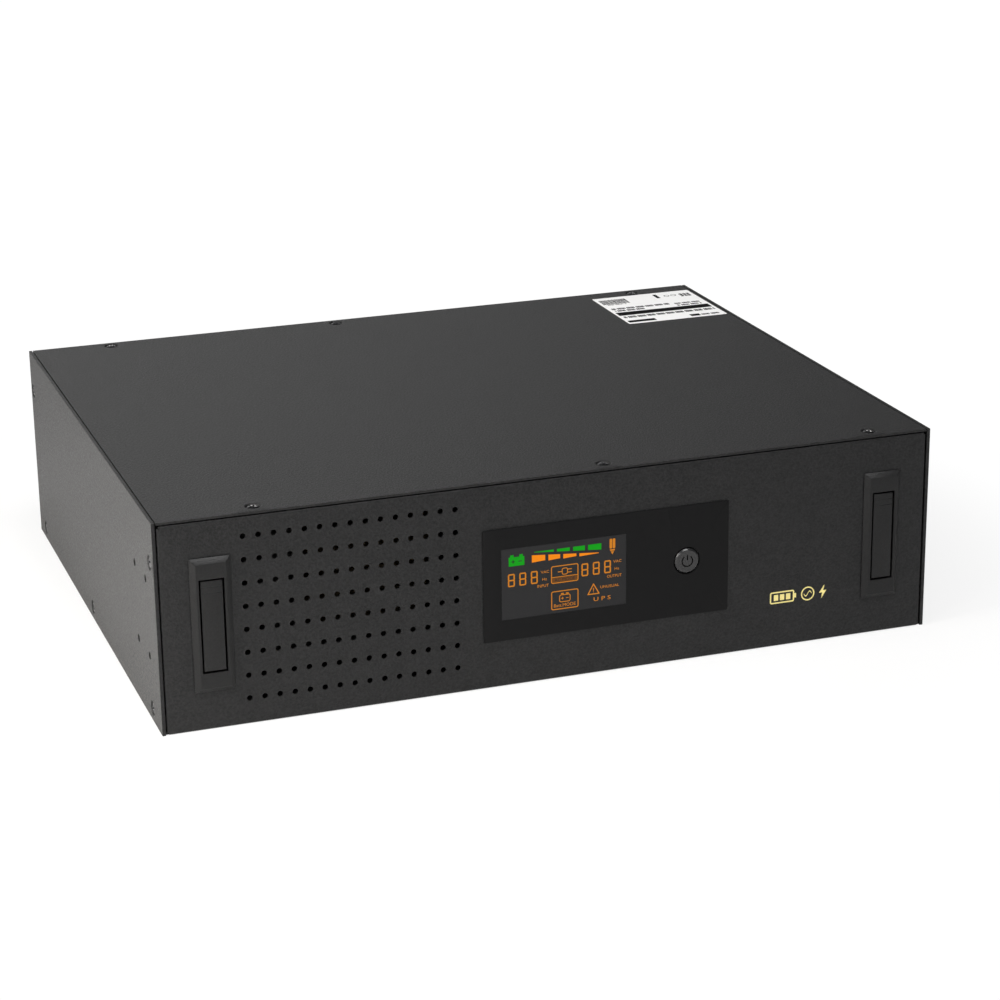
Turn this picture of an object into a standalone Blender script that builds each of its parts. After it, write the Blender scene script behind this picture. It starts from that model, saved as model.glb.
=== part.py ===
"""A rack-width uninterruptible power supply in a flat steel case, built piece by piece.

Metres, +Z up, the front faces -Y, and the origin lies under the middle of the case at floor level.
Left and right are as seen by someone who faces the front, so left is -X.
"""

import math

import bmesh
import bpy
from mathutils import Matrix, Vector

# Case
CASE_WIDTH = 0.430
CASE_DEPTH = 0.340
CASE_HEIGHT = 0.114
SIDE_SHEET = 0.0018
SHEET = 0.0012
FLANGE = 0.016
PAN_WALL = 0.018
GAP = 0.0003  # between pieces that touch
SEAM = 0.0006  # shadow line between the side panels and what lies between them
PROUD = 0.003  # how far the handle bezels and the fan guard stand off the panels

# Case screws: M3, countersunk in pressed dimples
SCREW_HEAD_RADIUS = 0.0030
SCREW_SHANK_RADIUS = 0.0015
SCREW_LENGTH = 0.0065
SCREW_HOLE_RADIUS = 0.0019
SCREW_DOME = 0.00005
SCREW_RIM = 0.0003
SCREW_TIP = 0.0005
SCREW_TAPER = 0.6  # share of its radius that a head's dome and a shank's tip keep
CROSS_ARM = 0.0016
CROSS_WIDTH = 0.0009
CROSS_DEPTH = 0.0011
DIMPLE_RADIUS = 0.0043
COVER_SCREW_INSET_FRONT = 0.0085
COVER_SCREW_INSET_BACK = 0.0070
COVER_SCREWS_FRONT_FROM_SIDES = (0.0540, 0.0330)
COVER_SCREWS_BACK_FROM_SIDES = (0.0490, 0.0400)
COVER_SCREW_FRONT_MIDDLE = 0.0280
COVER_SCREW_BACK_MIDDLE = -0.0240
SIDE_SCREW_LOW = 0.0070
SIDE_SCREW_HIGH_BELOW_TOP = 0.0235
SIDE_SCREW_LOW_INSET_FRONT = 0.0212
SIDE_SCREW_LOW_INSET_BACK = 0.0190
SIDE_SCREW_HIGH_INSET_FRONT = 0.0095
SIDE_SCREW_HIGH_INSET_BACK = 0.0060
SIDE_SCREW_MIDDLE = 0.0060

# Holes for a rack ear, two by two on each side panel
EAR_HOLE_RADIUS = 0.0021
EAR_HOLE_INSET = 0.0213
EAR_HOLE_SPACING_Y = 0.0261
EAR_HOLE_SPACING_Z = 0.0419

# Ventilation holes in the front
VENT_RADIUS = 0.0015
VENT_COLUMNS = 15
VENT_ROWS = 8
VENT_PITCH_X = 0.0080
VENT_PITCH_Z = 0.0125
VENT_FROM_LEFT = 0.0461
VENT_RISE = 0.0009

# Display
OVERLAY_WIDTH = 0.1386
OVERLAY_HEIGHT = 0.0621
OVERLAY_THICKNESS = 0.0004
OVERLAY_CENTRE_X = 0.0268
WINDOW_WIDTH = 0.0699
WINDOW_HEIGHT = 0.0393
WINDOW_CENTRE_X = 0.0024
LCD_RIM = 0.0020
LCD_DEPTH = 0.0100
LCD_PINS_DEPTH = 0.0045
BOARD_SHEET = 0.0016
BOARD_RIM_X = 0.0025
BOARD_RIM_Z = 0.0020
POST_RADIUS = 0.0020

# Power button
BUTTON_RADIUS = 0.0070
BUTTON_CLEARANCE = 0.0006
BUTTON_CENTRE_X = 0.0721
BUTTON_STANDS_OUT = 0.0016
BUTTON_BEVEL = 0.0010
BUTTON_COLLAR = 0.0012
BUTTON_COLLAR_LENGTH = 0.0010
BUTTON_TRAVEL = 0.0015
BUTTON_STEM_RADIUS = 0.0025
SWITCH_SIDE = 0.0120
SWITCH_DEPTH = 0.0043

# Pull-out grips and their bezels
BEZEL_WIDTH = 0.0215
BEZEL_HEIGHT = 0.0722
BEZEL_BEVEL = 0.0028
BEZEL_EDGE = 0.0002
BEZEL_FROM_SIDE = 0.0284
BEZEL_LIP = 0.0050
SLEEVE_WALL = 0.0015
GRIP_WIDTH = 0.0112
GRIP_HEIGHT = 0.0484
GRIP_CLEARANCE = 0.0010
GRIP_BAR = 0.0050
GRIP_SUNK = 0.0003
GRIP_LEG = 0.0070
GRIP_TRAVEL = 0.0300
GRIP_HOOK = 0.0012
GRIP_HOOK_LENGTH = 0.0030

# Rating label on the cover
LABEL_WIDTH = 0.0660
LABEL_DEPTH = 0.0645
LABEL_THICKNESS = 0.0002
LABEL_FROM_RIGHT = 0.0370
LABEL_FROM_BACK = 0.0455

# Batteries, standing side by side behind the right half of the front
BATTERY_LENGTH = 0.1510
BATTERY_WIDTH = 0.0650
BATTERY_HEIGHT = 0.0940
BATTERY_COUNT = 4
BATTERY_SPACING = 0.0010
BATTERY_TO_SLEEVE = 0.0042
BATTERY_TO_WALL = 0.0045
TERMINAL_SIZE = (0.0008, 0.0060, 0.0070)
TERMINAL_INSET = 0.0120
STRAP_WIDTH = 0.0150
STRAP_FOOT = 0.0040
BRACKET_HEIGHT = 0.0600
BRACKET_FOOT = 0.0120

# Transformer
CORE_WIDTH = 0.1140
CORE_HEIGHT = 0.0950
CORE_STACK = 0.0600
CORE_LIMB = 0.0190
COIL_CLEARANCE = 0.0010
COIL_WALL = 0.0170
CLAMP_SHEET = 0.0015
CLAMP_DEPTH = 0.0300
CLAMP_FOOT = 0.0140
TRANSFORMER_FROM_LEFT = 0.1300
TRANSFORMER_FROM_FRONT = 0.1000

# Main board and what stands on it
MAIN_BOARD_LENGTH = 0.2350
MAIN_BOARD_DEPTH = 0.1200
MAIN_BOARD_HEIGHT = 0.0100
MAIN_BOARD_FROM_LEFT = 0.0200
MAIN_BOARD_FROM_BACK = 0.0480
SINK_LENGTH = 0.0600
SINK_DEPTH = 0.0300
SINK_HEIGHT = 0.0480
SINK_BASE = 0.0060
SINK_FIN = 0.0020
SINK_FINS = 6
SINK_CENTRES_FROM_LEFT = (0.0600, 0.1300)
SINK_FROM_BOARD_FRONT = 0.0300
CAPACITOR_RADIUS = 0.0125
CAPACITOR_HEIGHT = 0.0400
CAPACITOR_EDGE = 0.0010
RELAY_SIZE = (0.0300, 0.0130, 0.0250)
RELAY_FROM_BOARD_FRONT = 0.0680
COLUMN_STEP = 0.0320

# Fan behind the rear panel
FAN_SIDE = 0.0800
FAN_DEPTH = 0.0250
FAN_BORE_RADIUS = 0.0380
FAN_FROM_LEFT = 0.0750
FAN_HOLE_RADIUS = 0.0022
FAN_HOLE_SPACING = 0.0715
FAN_BLADES = 7
FAN_BLADE_THICKNESS = 0.0015
FAN_BLADE_CHORD = 0.0200
FAN_BLADE_STATIONS = 4
FAN_BLADE_ROOT = 0.0010  # how far a blade reaches into the hub
BLADE_PITCH_HUB = 48.0  # degrees from the plane of the fan
BLADE_PITCH_TIP = 26.0
FAN_TIP_CLEARANCE = 0.0012
HUB_RADIUS = 0.0180
HUB_CLEARANCE = 0.0010
MOTOR_BASE = 0.0040
STRUT_WIDTH = 0.0040
SHAFT_RADIUS = 0.0015
SHAFT_BORE_CLEARANCE = 0.0004
GUARD_WIRE = 0.0017
GUARD_RINGS = (0.0120, 0.0215, 0.0310, 0.0385)

# Round mains sockets
SOCKET_PLATE = 0.0500
SOCKET_FACE = 0.0025
SOCKET_WELL_RADIUS = 0.0195
SOCKET_WELL_DEPTH = 0.0175
SOCKET_BODY_RADIUS = 0.0223
SOCKET_BODY_DEPTH = 0.0360
SOCKET_PIN_RADIUS = 0.0026
SOCKET_PIN_SPACING = 0.0190
SOCKET_PIN_DEPTH = 0.0150
SOCKET_CLIP = (0.0040, 0.0020, 0.0160)
SOCKET_CLIP_ROOT = 0.0015
SOCKET_CORNER = 0.0040
SOCKET_CENTRES_X = (-0.0620, -0.0060)

# Appliance outlets and inlet
OUTLET_FACE = (0.0340, 0.0270)
OUTLET_BODY = (0.0290, 0.0225)
OUTLET_WELL = (0.0250, 0.0175)
OUTLET_ISLAND = (0.0190, 0.0115)
OUTLET_WELL_DEPTH = 0.0170
OUTLET_DEPTH = 0.0215
OUTLET_SLOT = (0.0022, 0.0048)
OUTLET_SLOT_SPREAD = 0.0070
LINE_SLOT_DROP = 0.0020
EARTH_SLOT_RISE = 0.0022
OUTLET_KEY = 0.0050
ISLAND_KEY = 0.0030
OUTLETS_X = 0.0680
CONNECTOR_FACE = 0.0020
ROW_LOW = 0.0360
ROW_HIGH_BELOW_TOP = 0.0340
INLET_FACE = (0.0500, 0.0270)
INLET_PIN = (0.0020, 0.0040)
INLET_PIN_LENGTH = 0.0130
INLET_X = 0.1370
BREAKER_NUT_RADIUS = 0.0085
BREAKER_THREAD_RADIUS = 0.0060
BREAKER_BODY = (0.0200, 0.0300)
BREAKER_DEPTH = 0.0280
BREAKER_BUTTON_RADIUS = 0.0034
BREAKER_BUTTON_CLEARANCE = 0.0004
BREAKER_BUTTON_LENGTH = 0.0140
BREAKER_BUTTON_SUNK = 0.0010
BREAKER_BUTTON_EDGE = 0.0005
PORTS_X = 0.1850
USB_SIZE = (0.0120, 0.0108)
USB_OPENING = (0.0086, 0.0078)
USB_KEY = 0.0015
USB_DEPTH = 0.0160
USB_WELL_DEPTH = 0.0090
JACK_SIZE = (0.0300, 0.0150)
JACK_OPENING = (0.0100, 0.0070)
JACK_SPREAD = 0.0070
JACK_DEPTH = 0.0160
JACK_WELL_DEPTH = 0.0120

# Internal battery leads
LEAD_RADIUS = 0.0018
LEAD_RISE = 0.0060
LEAD_STEPS = 5
LEAD_BEVEL_RESOLUTION = 2
LEAD_BATTERIES = (("red", 2), ("black", 3))

# Places worked out from the driving sizes
FRONT = -CASE_DEPTH / 2
BACK = CASE_DEPTH / 2
INSIDE = CASE_WIDTH / 2 - SIDE_SHEET
PANEL_HALF = INSIDE - SEAM
PANEL_TOP = CASE_HEIGHT - SHEET - SEAM
MIDDLE_Z = CASE_HEIGHT / 2
FLOOR = SHEET + GAP
ROW_HIGH = CASE_HEIGHT - ROW_HIGH_BELOW_TOP
BUTTON_CENTRE = Vector((BUTTON_CENTRE_X, FRONT, MIDDLE_Z))
BUTTON_HOLE_RADIUS = BUTTON_RADIUS + BUTTON_CLEARANCE
BEZEL_CENTRE_X = CASE_WIDTH / 2 - BEZEL_FROM_SIDE
BEZEL_FRONT = FRONT - PROUD
LIP_BACK = BEZEL_FRONT + BEZEL_LIP
GRIP_END = LIP_BACK + GAP + GRIP_TRAVEL + GRIP_HOOK_LENGTH
SLEEVE_CAVITY_END = GRIP_END + GRIP_CLEARANCE
SLEEVE_END = SLEEVE_CAVITY_END + SLEEVE_WALL
LCD_END = FRONT + SHEET + GAP + LCD_DEPTH + LCD_PINS_DEPTH
DISPLAY_BOARD_FRONT = LCD_END + GAP
BATTERY_X = INSIDE - SHEET - BATTERY_TO_WALL - BATTERY_LENGTH
BATTERY_START = SLEEVE_END + BATTERY_TO_SLEEVE
BATTERY_STEP = BATTERY_WIDTH + BATTERY_SPACING
BATTERY_END = BATTERY_START + BATTERY_COUNT * BATTERY_STEP - BATTERY_SPACING
BATTERY_TOP = FLOOR + BATTERY_HEIGHT
TRANSFORMER_X = -CASE_WIDTH / 2 + TRANSFORMER_FROM_LEFT
TRANSFORMER_Y = FRONT + TRANSFORMER_FROM_FRONT
CORE_BOTTOM = FLOOR + GAP
MAIN_BOARD_X = -CASE_WIDTH / 2 + MAIN_BOARD_FROM_LEFT
MAIN_BOARD_Y = BACK - MAIN_BOARD_FROM_BACK - MAIN_BOARD_DEPTH
MAIN_BOARD_TOP = MAIN_BOARD_HEIGHT + BOARD_SHEET
FAN_CENTRE = Vector((-CASE_WIDTH / 2 + FAN_FROM_LEFT, BACK - SHEET - GAP, MIDDLE_Z))
REAR_INSIDE = BACK - SHEET

ROUND = 24  # sides of a round piece
SMALL_ROUND = 8
VENT_SIDES = 8
SHARP_ANGLE = 35.0  # degrees between faces that stay flat beside each other

FINISHES = {
    "powder_coat": ((0.045, 0.045, 0.047), 0.55, 0.0),
    "zinc": ((0.55, 0.55, 0.53), 0.40, 1.0),
    "screw_black": ((0.03, 0.03, 0.032), 0.35, 0.9),
    "black_plastic": ((0.018, 0.018, 0.019), 0.45, 0.0),
    "overlay": ((0.010, 0.010, 0.011), 0.35, 0.0),
    "lcd": ((0.020, 0.020, 0.022), 0.15, 0.0),
    "label": ((0.80, 0.80, 0.79), 0.50, 0.0),
    "battery_case": ((0.10, 0.11, 0.12), 0.50, 0.0),
    "laminations": ((0.22, 0.21, 0.20), 0.50, 0.8),
    "winding": ((0.45, 0.32, 0.06), 0.50, 0.0),
    "board": ((0.02, 0.12, 0.05), 0.45, 0.0),
    "aluminium": ((0.62, 0.62, 0.64), 0.40, 1.0),
    "capacitor": ((0.03, 0.04, 0.10), 0.35, 0.0),
    "relay": ((0.05, 0.10, 0.28), 0.40, 0.0),
    "chrome_wire": ((0.60, 0.60, 0.60), 0.20, 1.0),
    "white_plastic": ((0.75, 0.75, 0.73), 0.40, 0.0),
    "red_insulation": ((0.45, 0.02, 0.02), 0.45, 0.0),
    "black_insulation": ((0.02, 0.02, 0.02), 0.45, 0.0),
}


# Outlines: points in a plane, counter-clockwise

def rectangle(centre, width, height):
    """Four corners round a centre."""
    x0, x1 = centre[0] - width / 2, centre[0] + width / 2
    y0, y1 = centre[1] - height / 2, centre[1] + height / 2
    return [(x0, y0), (x1, y0), (x1, y1), (x0, y1)]


def circle(centre, radius, sides):
    """Corners spaced evenly on a circle, with a flat side at the bottom."""
    turns = [2 * math.pi * (i + 0.5) / sides for i in range(sides)]
    return [(centre[0] + radius * math.cos(t), centre[1] + radius * math.sin(t)) for t in turns]


def keyed_rectangle(centre, width, height, key):
    """A rectangle with its two upper corners cut off, as on an appliance connector."""
    x, y = centre
    half_w, half_h = width / 2, height / 2
    return [
        (x - half_w, y - half_h),
        (x + half_w, y - half_h),
        (x + half_w, y + half_h - key),
        (x + half_w - key, y + half_h),
        (x - half_w + key, y + half_h),
        (x - half_w, y + half_h - key),
    ]


def cross(arm, width):
    """A plus sign, arm long each way from its centre."""
    half = width / 2
    corners = [(arm, -half), (arm, half), (half, half)]
    points = []
    for quarter in range(4):
        turn = quarter * math.pi / 2
        c, s = round(math.cos(turn)), round(math.sin(turn))
        points += [(x * c - y * s, x * s + y * c) for x, y in corners]
    return points


def rotated(outline, angle):
    """The outline turned about the origin."""
    c, s = math.cos(angle), math.sin(angle)
    return [(x * c - y * s, x * s + y * c) for x, y in outline]


def moved(outline, step):
    """The outline shifted by a step in its plane."""
    return [(x + step[0], y + step[1]) for x, y in outline]


def chamfered(outline, length):
    """The outline with each corner cut off, length along each of its sides."""
    points = []
    for before, corner, after in zip(outline[-1:] + outline[:-1], outline, outline[1:] + outline[:1]):
        for other in (before, after):
            step = Vector(other) - Vector(corner)
            points.append(tuple(Vector(corner) + step.normalized() * length))
    return points


# Closed shapes: each returns a function that adds the shape to a bmesh

def loft(axis, sections):
    """A solid through outlines set at places along X, Y or Z. Each section is (place, outline)."""

    def place(point, along):
        a, b = point
        return {"X": (along, a, b), "Y": (a, along, b), "Z": (a, b, along)}[axis]

    def add(bm):
        loops = [[bm.verts.new(place(p, along)) for p in outline] for along, outline in sections]
        for near, far in zip(loops, loops[1:]):
            for i in range(len(near)):
                j = (i + 1) % len(near)
                bm.faces.new((near[i], near[j], far[j], far[i]))
        bm.faces.new(loops[0][::-1])
        bm.faces.new(loops[-1])

    return add


def prism(axis, outline, start, end):
    """An outline carried along X, Y or Z."""
    return loft(axis, [(start, outline), (end, outline)])


def box(low, high):
    """A block between two opposite corners."""
    centre = ((low[0] + high[0]) / 2, (low[1] + high[1]) / 2)
    return prism("Z", rectangle(centre, high[0] - low[0], high[1] - low[1]), low[2], high[2])


def ring(bm, axis, centre, radius, along, sides):
    """Vertices of a circle round an axis, or the one vertex on the axis where the radius is 0."""
    turn = Vector((0, 0, 1)).rotation_difference(Vector(axis)).to_matrix()
    corners = circle((0, 0), radius, sides) if radius else [(0, 0)]
    return [bm.verts.new(Vector(centre) + turn @ Vector((x, y, along))) for x, y in corners]


def turned(axis, centre, profile, sides=ROUND):
    """A turned solid. The profile is (radius, place along the axis) from one end on the axis to the other."""

    def add(bm):
        rings = [ring(bm, axis, centre, radius, along, sides) for radius, along in profile]
        for near, far in zip(rings, rings[1:]):
            for i in range(sides):
                j = (i + 1) % sides
                corners = [near[i % len(near)], near[j % len(near)], far[j % len(far)], far[i % len(far)]]
                bm.faces.new(list(dict.fromkeys(corners)))

    return add


def hoop(axis, centre, inner, outer, start, end, sides=ROUND):
    """A flat ring with a square section."""
    corners = [(inner, start), (outer, start), (outer, end), (inner, end)]

    def add(bm):
        rings = [ring(bm, axis, centre, radius, along, sides) for radius, along in corners]
        for near, far in zip(rings, rings[1:] + rings[:1]):
            for i in range(sides):
                j = (i + 1) % sides
                bm.faces.new((near[i], near[j], far[j], far[i]))

    return add


# Objects

def finish(name):
    """The named finish as a Blender material, made once."""
    found = bpy.data.materials.get(name)
    if found:
        return found
    colour, roughness, metallic = FINISHES[name]
    made = bpy.data.materials.new(name)
    made.use_nodes = True
    shader = made.node_tree.nodes["Principled BSDF"]
    shader.inputs["Base Color"].default_value = (*colour, 1.0)
    shader.inputs["Roughness"].default_value = roughness
    shader.inputs["Metallic"].default_value = metallic
    made.diffuse_color = (*colour, 1.0)
    return made


def mesh_of(name, shapes):
    """One mesh that holds the given closed shapes, facing outwards."""
    bm = bmesh.new()
    for shape in shapes:
        shape(bm)
    bmesh.ops.recalc_face_normals(bm, faces=bm.faces)
    mesh = bpy.data.meshes.new(name)
    bm.to_mesh(mesh)
    bm.free()
    return mesh


def add_object(name, mesh):
    """Links a new object that shows the mesh."""
    made = bpy.data.objects.new(name, mesh)
    bpy.context.scene.collection.objects.link(made)
    return made


def combine(piece, operation, shapes):
    """Joins shapes to a piece or cuts them from it, and keeps the result as its mesh."""
    tool = add_object(f"{piece.name}_tool", mesh_of(f"{piece.name}_tool", shapes))
    modifier = piece.modifiers.new("shape", "BOOLEAN")
    modifier.operation = operation
    modifier.object = tool
    bpy.context.view_layer.update()
    result = bpy.data.meshes.new_from_object(piece.evaluated_get(bpy.context.evaluated_depsgraph_get()))
    piece.modifiers.remove(modifier)
    before, piece.data = piece.data, result
    result.name = piece.name
    bpy.data.meshes.remove(before)
    bpy.data.meshes.remove(tool.data)


def cut(piece, *shapes):
    """Removes shapes that don't touch each other from a piece."""
    combine(piece, "DIFFERENCE", shapes)


def fuse(piece, *shapes):
    """Joins shapes that don't touch each other to a piece."""
    combine(piece, "UNION", shapes)


def make(name, material, *shapes):
    """A named piece with its finish, from closed shapes that don't touch each other."""
    piece = add_object(name, mesh_of(name, shapes))
    piece.data.materials.append(finish(material))
    return piece


def smooth(piece):
    """Shades a round piece smooth up to its sharp edges."""
    piece.data.shade_smooth()
    piece.data.set_sharp_from_angle(angle=math.radians(SHARP_ANGLE))
    return piece


def pivot_at(piece, point):
    """Moves a piece's origin to a point on its joint's axis, and leaves the piece where it is."""
    piece.data.transform(Matrix.Translation(-Vector(point)))
    piece.location = point
    return piece


# Case screws

def cover_screws():
    """(x, y) of the six screws of the cover, front row first."""
    half = CASE_WIDTH / 2
    places = []
    for sides, middle, y in (
        (COVER_SCREWS_FRONT_FROM_SIDES, COVER_SCREW_FRONT_MIDDLE, FRONT + COVER_SCREW_INSET_FRONT),
        (COVER_SCREWS_BACK_FROM_SIDES, COVER_SCREW_BACK_MIDDLE, BACK - COVER_SCREW_INSET_BACK),
    ):
        places += [(-half + sides[0], y), (middle, y), (half - sides[1], y)]
    return places


def side_screws():
    """(y, z) of the five screws of a side panel."""
    high = CASE_HEIGHT - SIDE_SCREW_HIGH_BELOW_TOP
    return [
        (FRONT + SIDE_SCREW_HIGH_INSET_FRONT, high),
        (BACK - SIDE_SCREW_HIGH_INSET_BACK, high),
        (FRONT + SIDE_SCREW_LOW_INSET_FRONT, SIDE_SCREW_LOW),
        (SIDE_SCREW_MIDDLE, SIDE_SCREW_LOW),
        (BACK - SIDE_SCREW_LOW_INSET_BACK, SIDE_SCREW_LOW),
    ]


def ear_holes():
    """(y, z) of the four holes for a rack ear."""
    near = FRONT + EAR_HOLE_INSET
    return [
        (near + i * EAR_HOLE_SPACING_Y, MIDDLE_Z + (j - 0.5) * EAR_HOLE_SPACING_Z)
        for i in range(2)
        for j in range(2)
    ]


def dimple(axis, face_point, thickness):
    """Cutter for a dimple: a cone from the outer face down to the screw's clearance hole."""
    profile = [
        (0, -SHEET),
        (SCREW_HOLE_RADIUS, -SHEET),
        (SCREW_HOLE_RADIUS, 0),
        (DIMPLE_RADIUS, thickness),
        (DIMPLE_RADIUS, thickness + SHEET),
        (0, thickness + SHEET),
    ]
    inner = Vector(face_point) - Vector(axis) * thickness
    return turned(axis, inner, profile, SMALL_ROUND)


def screw_mesh():
    """A countersunk cross-head screw, its head's top at the origin and its shank down -Z."""
    slope = (DIMPLE_RADIUS - SCREW_HOLE_RADIUS) / SHEET
    neck = -SCREW_RIM - (SCREW_HEAD_RADIUS - SCREW_SHANK_RADIUS) / slope
    profile = [
        (0, 0),
        (SCREW_HEAD_RADIUS * SCREW_TAPER, -SCREW_DOME),
        (SCREW_HEAD_RADIUS, -SCREW_RIM),
        (SCREW_SHANK_RADIUS, neck),
        (SCREW_SHANK_RADIUS, -SCREW_LENGTH + SCREW_TIP),
        (SCREW_SHANK_RADIUS * SCREW_TAPER, -SCREW_LENGTH),
        (0, -SCREW_LENGTH),
    ]
    pattern = make("screw_pattern", "screw_black", turned((0, 0, 1), (0, 0, 0), profile, SMALL_ROUND))
    cut(pattern, prism("Z", cross(CROSS_ARM, CROSS_WIDTH), -CROSS_DEPTH, CROSS_DEPTH))
    mesh = smooth(pattern).data
    bpy.data.objects.remove(pattern)
    mesh.name = "case_screw"
    return mesh


def build_screws():
    """Six screws in the cover and five in each side panel, all of one mesh."""
    mesh = screw_mesh()
    for number, (x, y) in enumerate(cover_screws(), 1):
        add_object(f"cover_screw_{number}", mesh).location = (x, y, CASE_HEIGHT)
    for side, sign in (("left", -1), ("right", 1)):
        for number, (y, z) in enumerate(side_screws(), 1):
            screw = add_object(f"{side}_screw_{number}", mesh)
            screw.location = (sign * CASE_WIDTH / 2, y, z)
            screw.rotation_euler = (0, sign * math.pi / 2, 0)


# Case

def flange_holes(panel_is_front):
    """Clearance holes for the case screws that enter the front or the rear panel's flanges."""
    row = cover_screws()[:3] if panel_is_front else cover_screws()[3:]
    holes = [
        prism("Z", circle(place, SCREW_HOLE_RADIUS, SMALL_ROUND), PANEL_TOP - 2 * SHEET, PANEL_TOP + SHEET)
        for place in row
    ]
    y, z = side_screws()[0 if panel_is_front else 1]
    for sign in (-1, 1):
        ends = sorted((sign * (PANEL_HALF - 2 * SHEET), sign * (PANEL_HALF + SHEET)))
        holes.append(prism("X", circle((y, z), SCREW_HOLE_RADIUS, SMALL_ROUND), *ends))
    return holes


def flanged_panel(name, outer_face, inwards):
    """A panel bent back on all four sides. inwards is 1 for the front panel and -1 for the rear one."""

    def across(near, far):
        return sorted((outer_face + inwards * near, outer_face + inwards * far))

    (y0, y1), (c0, c1) = across(0, FLANGE), across(SHEET, FLANGE + SHEET)
    panel = make(name, "powder_coat", box((-PANEL_HALF, y0, 0), (PANEL_HALF, y1, PANEL_TOP)))
    wide = PANEL_HALF - SHEET
    cut(
        panel,
        box((-wide, c0, FLOOR + SHEET), (wide, c1, PANEL_TOP - SHEET)),
        box((-CASE_WIDTH, c0, -SHEET), (CASE_WIDTH, c1, FLOOR)),
    )
    cut(panel, *flange_holes(inwards == 1))
    return panel


def panel_hole(outer_face, outline):
    """Cutter through a panel only."""
    return prism("Y", outline, outer_face - 2 * SHEET, outer_face + 2 * SHEET)


def build_base_pan():
    """The bottom: a plate with a wall turned up on each side, to which the side panels are screwed."""
    half = INSIDE - GAP
    wall_y = (FRONT + FLANGE + GAP, BACK - FLANGE - GAP)
    plate_y = (FRONT + SHEET + GAP, BACK - SHEET - GAP)
    outline = [
        (-half, 0),
        (half, 0),
        (half, PAN_WALL),
        (half - SHEET, PAN_WALL),
        (half - SHEET, SHEET),
        (-half + SHEET, SHEET),
        (-half + SHEET, PAN_WALL),
        (-half, PAN_WALL),
    ]
    pan = make("base_pan", "powder_coat", prism("Y", outline, *plate_y))
    cut(
        pan,
        box((-CASE_WIDTH, plate_y[0] - SHEET, SHEET), (CASE_WIDTH, wall_y[0], CASE_HEIGHT)),
        box((-CASE_WIDTH, wall_y[1], SHEET), (CASE_WIDTH, plate_y[1] + SHEET, CASE_HEIGHT)),
    )
    holes = [
        prism("X", circle(place, SCREW_HOLE_RADIUS, SMALL_ROUND), *ends)
        for place in side_screws()[2:]
        for ends in ((-half - SHEET, -half + 2 * SHEET), (half - 2 * SHEET, half + SHEET))
    ]
    cut(pan, *holes)


def build_side_panels():
    """Two outer plates, full height and depth, with dimples for screws and holes for a rack ear."""
    for name, sign in (("left_side_panel", -1), ("right_side_panel", 1)):
        x0, x1 = sorted((sign * INSIDE, sign * CASE_WIDTH / 2))
        panel = make(name, "powder_coat", box((x0, FRONT, 0), (x1, BACK, CASE_HEIGHT)))
        holes = [
            prism("X", circle(place, EAR_HOLE_RADIUS, SMALL_ROUND), x0 - SHEET, x1 + SHEET)
            for place in ear_holes()
        ]
        holes += [dimple((sign, 0, 0), (sign * CASE_WIDTH / 2, y, z), SIDE_SHEET) for y, z in side_screws()]
        cut(panel, *holes)


def build_top_cover():
    """The cover lies on the front and rear panels' flanges, between the side panels."""
    cover = make(
        "top_cover",
        "powder_coat",
        box((-PANEL_HALF, FRONT, CASE_HEIGHT - SHEET), (PANEL_HALF, BACK, CASE_HEIGHT)),
    )
    cut(cover, *[dimple((0, 0, 1), (x, y, CASE_HEIGHT), SHEET) for x, y in cover_screws()])


def vent_holes():
    """Cutters for the grid of ventilation holes."""
    left = -CASE_WIDTH / 2 + VENT_FROM_LEFT
    low = MIDDLE_Z + VENT_RISE - (VENT_ROWS - 1) / 2 * VENT_PITCH_Z
    return [
        panel_hole(FRONT, circle((left + i * VENT_PITCH_X, low + j * VENT_PITCH_Z), VENT_RADIUS, VENT_SIDES))
        for i in range(VENT_COLUMNS)
        for j in range(VENT_ROWS)
    ]


def build_front_panel():
    """Front panel with its vents, the display window, the button's hole and the handles' openings."""
    panel = flanged_panel("front_panel", FRONT, 1)
    openings = [
        rectangle((WINDOW_CENTRE_X, MIDDLE_Z), WINDOW_WIDTH, WINDOW_HEIGHT),
        circle((BUTTON_CENTRE.x, BUTTON_CENTRE.z), BUTTON_HOLE_RADIUS, ROUND),
    ]
    width, height = sleeve_size()
    for sign in (-1, 1):
        openings.append(rectangle((sign * BEZEL_CENTRE_X, MIDDLE_Z), width + 2 * GAP, height + 2 * GAP))
    cut(panel, *[panel_hole(FRONT, outline) for outline in openings])
    cut(panel, *vent_holes())


def build_rear_panel():
    """Rear panel with the fan's opening and one cut-out for each connector."""
    panel = flanged_panel("rear_panel", BACK, -1)
    openings = [circle((FAN_CENTRE.x, FAN_CENTRE.z), FAN_BORE_RADIUS, ROUND)]
    openings += [circle(place, FAN_HOLE_RADIUS, VENT_SIDES) for place in fan_holes()]
    openings += [circle((x, MIDDLE_Z), SOCKET_BODY_RADIUS + GAP, ROUND) for x in SOCKET_CENTRES_X]
    openings += [rectangle(place, *grown(OUTLET_BODY)) for place in outlet_places()]
    openings += [
        rectangle((INLET_X, ROW_LOW), *grown(OUTLET_BODY)),
        circle((INLET_X, ROW_HIGH), BREAKER_THREAD_RADIUS + GAP, ROUND),
        rectangle((PORTS_X, ROW_LOW), *grown(USB_SIZE)),
        rectangle((PORTS_X, ROW_HIGH), *grown(JACK_SIZE)),
    ]
    cut(panel, *[panel_hole(BACK, outline) for outline in openings])


def grown(size):
    """A width and height with the clearance gap added all round."""
    return size[0] + 2 * GAP, size[1] + 2 * GAP


# Front: handles, display and button

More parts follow.
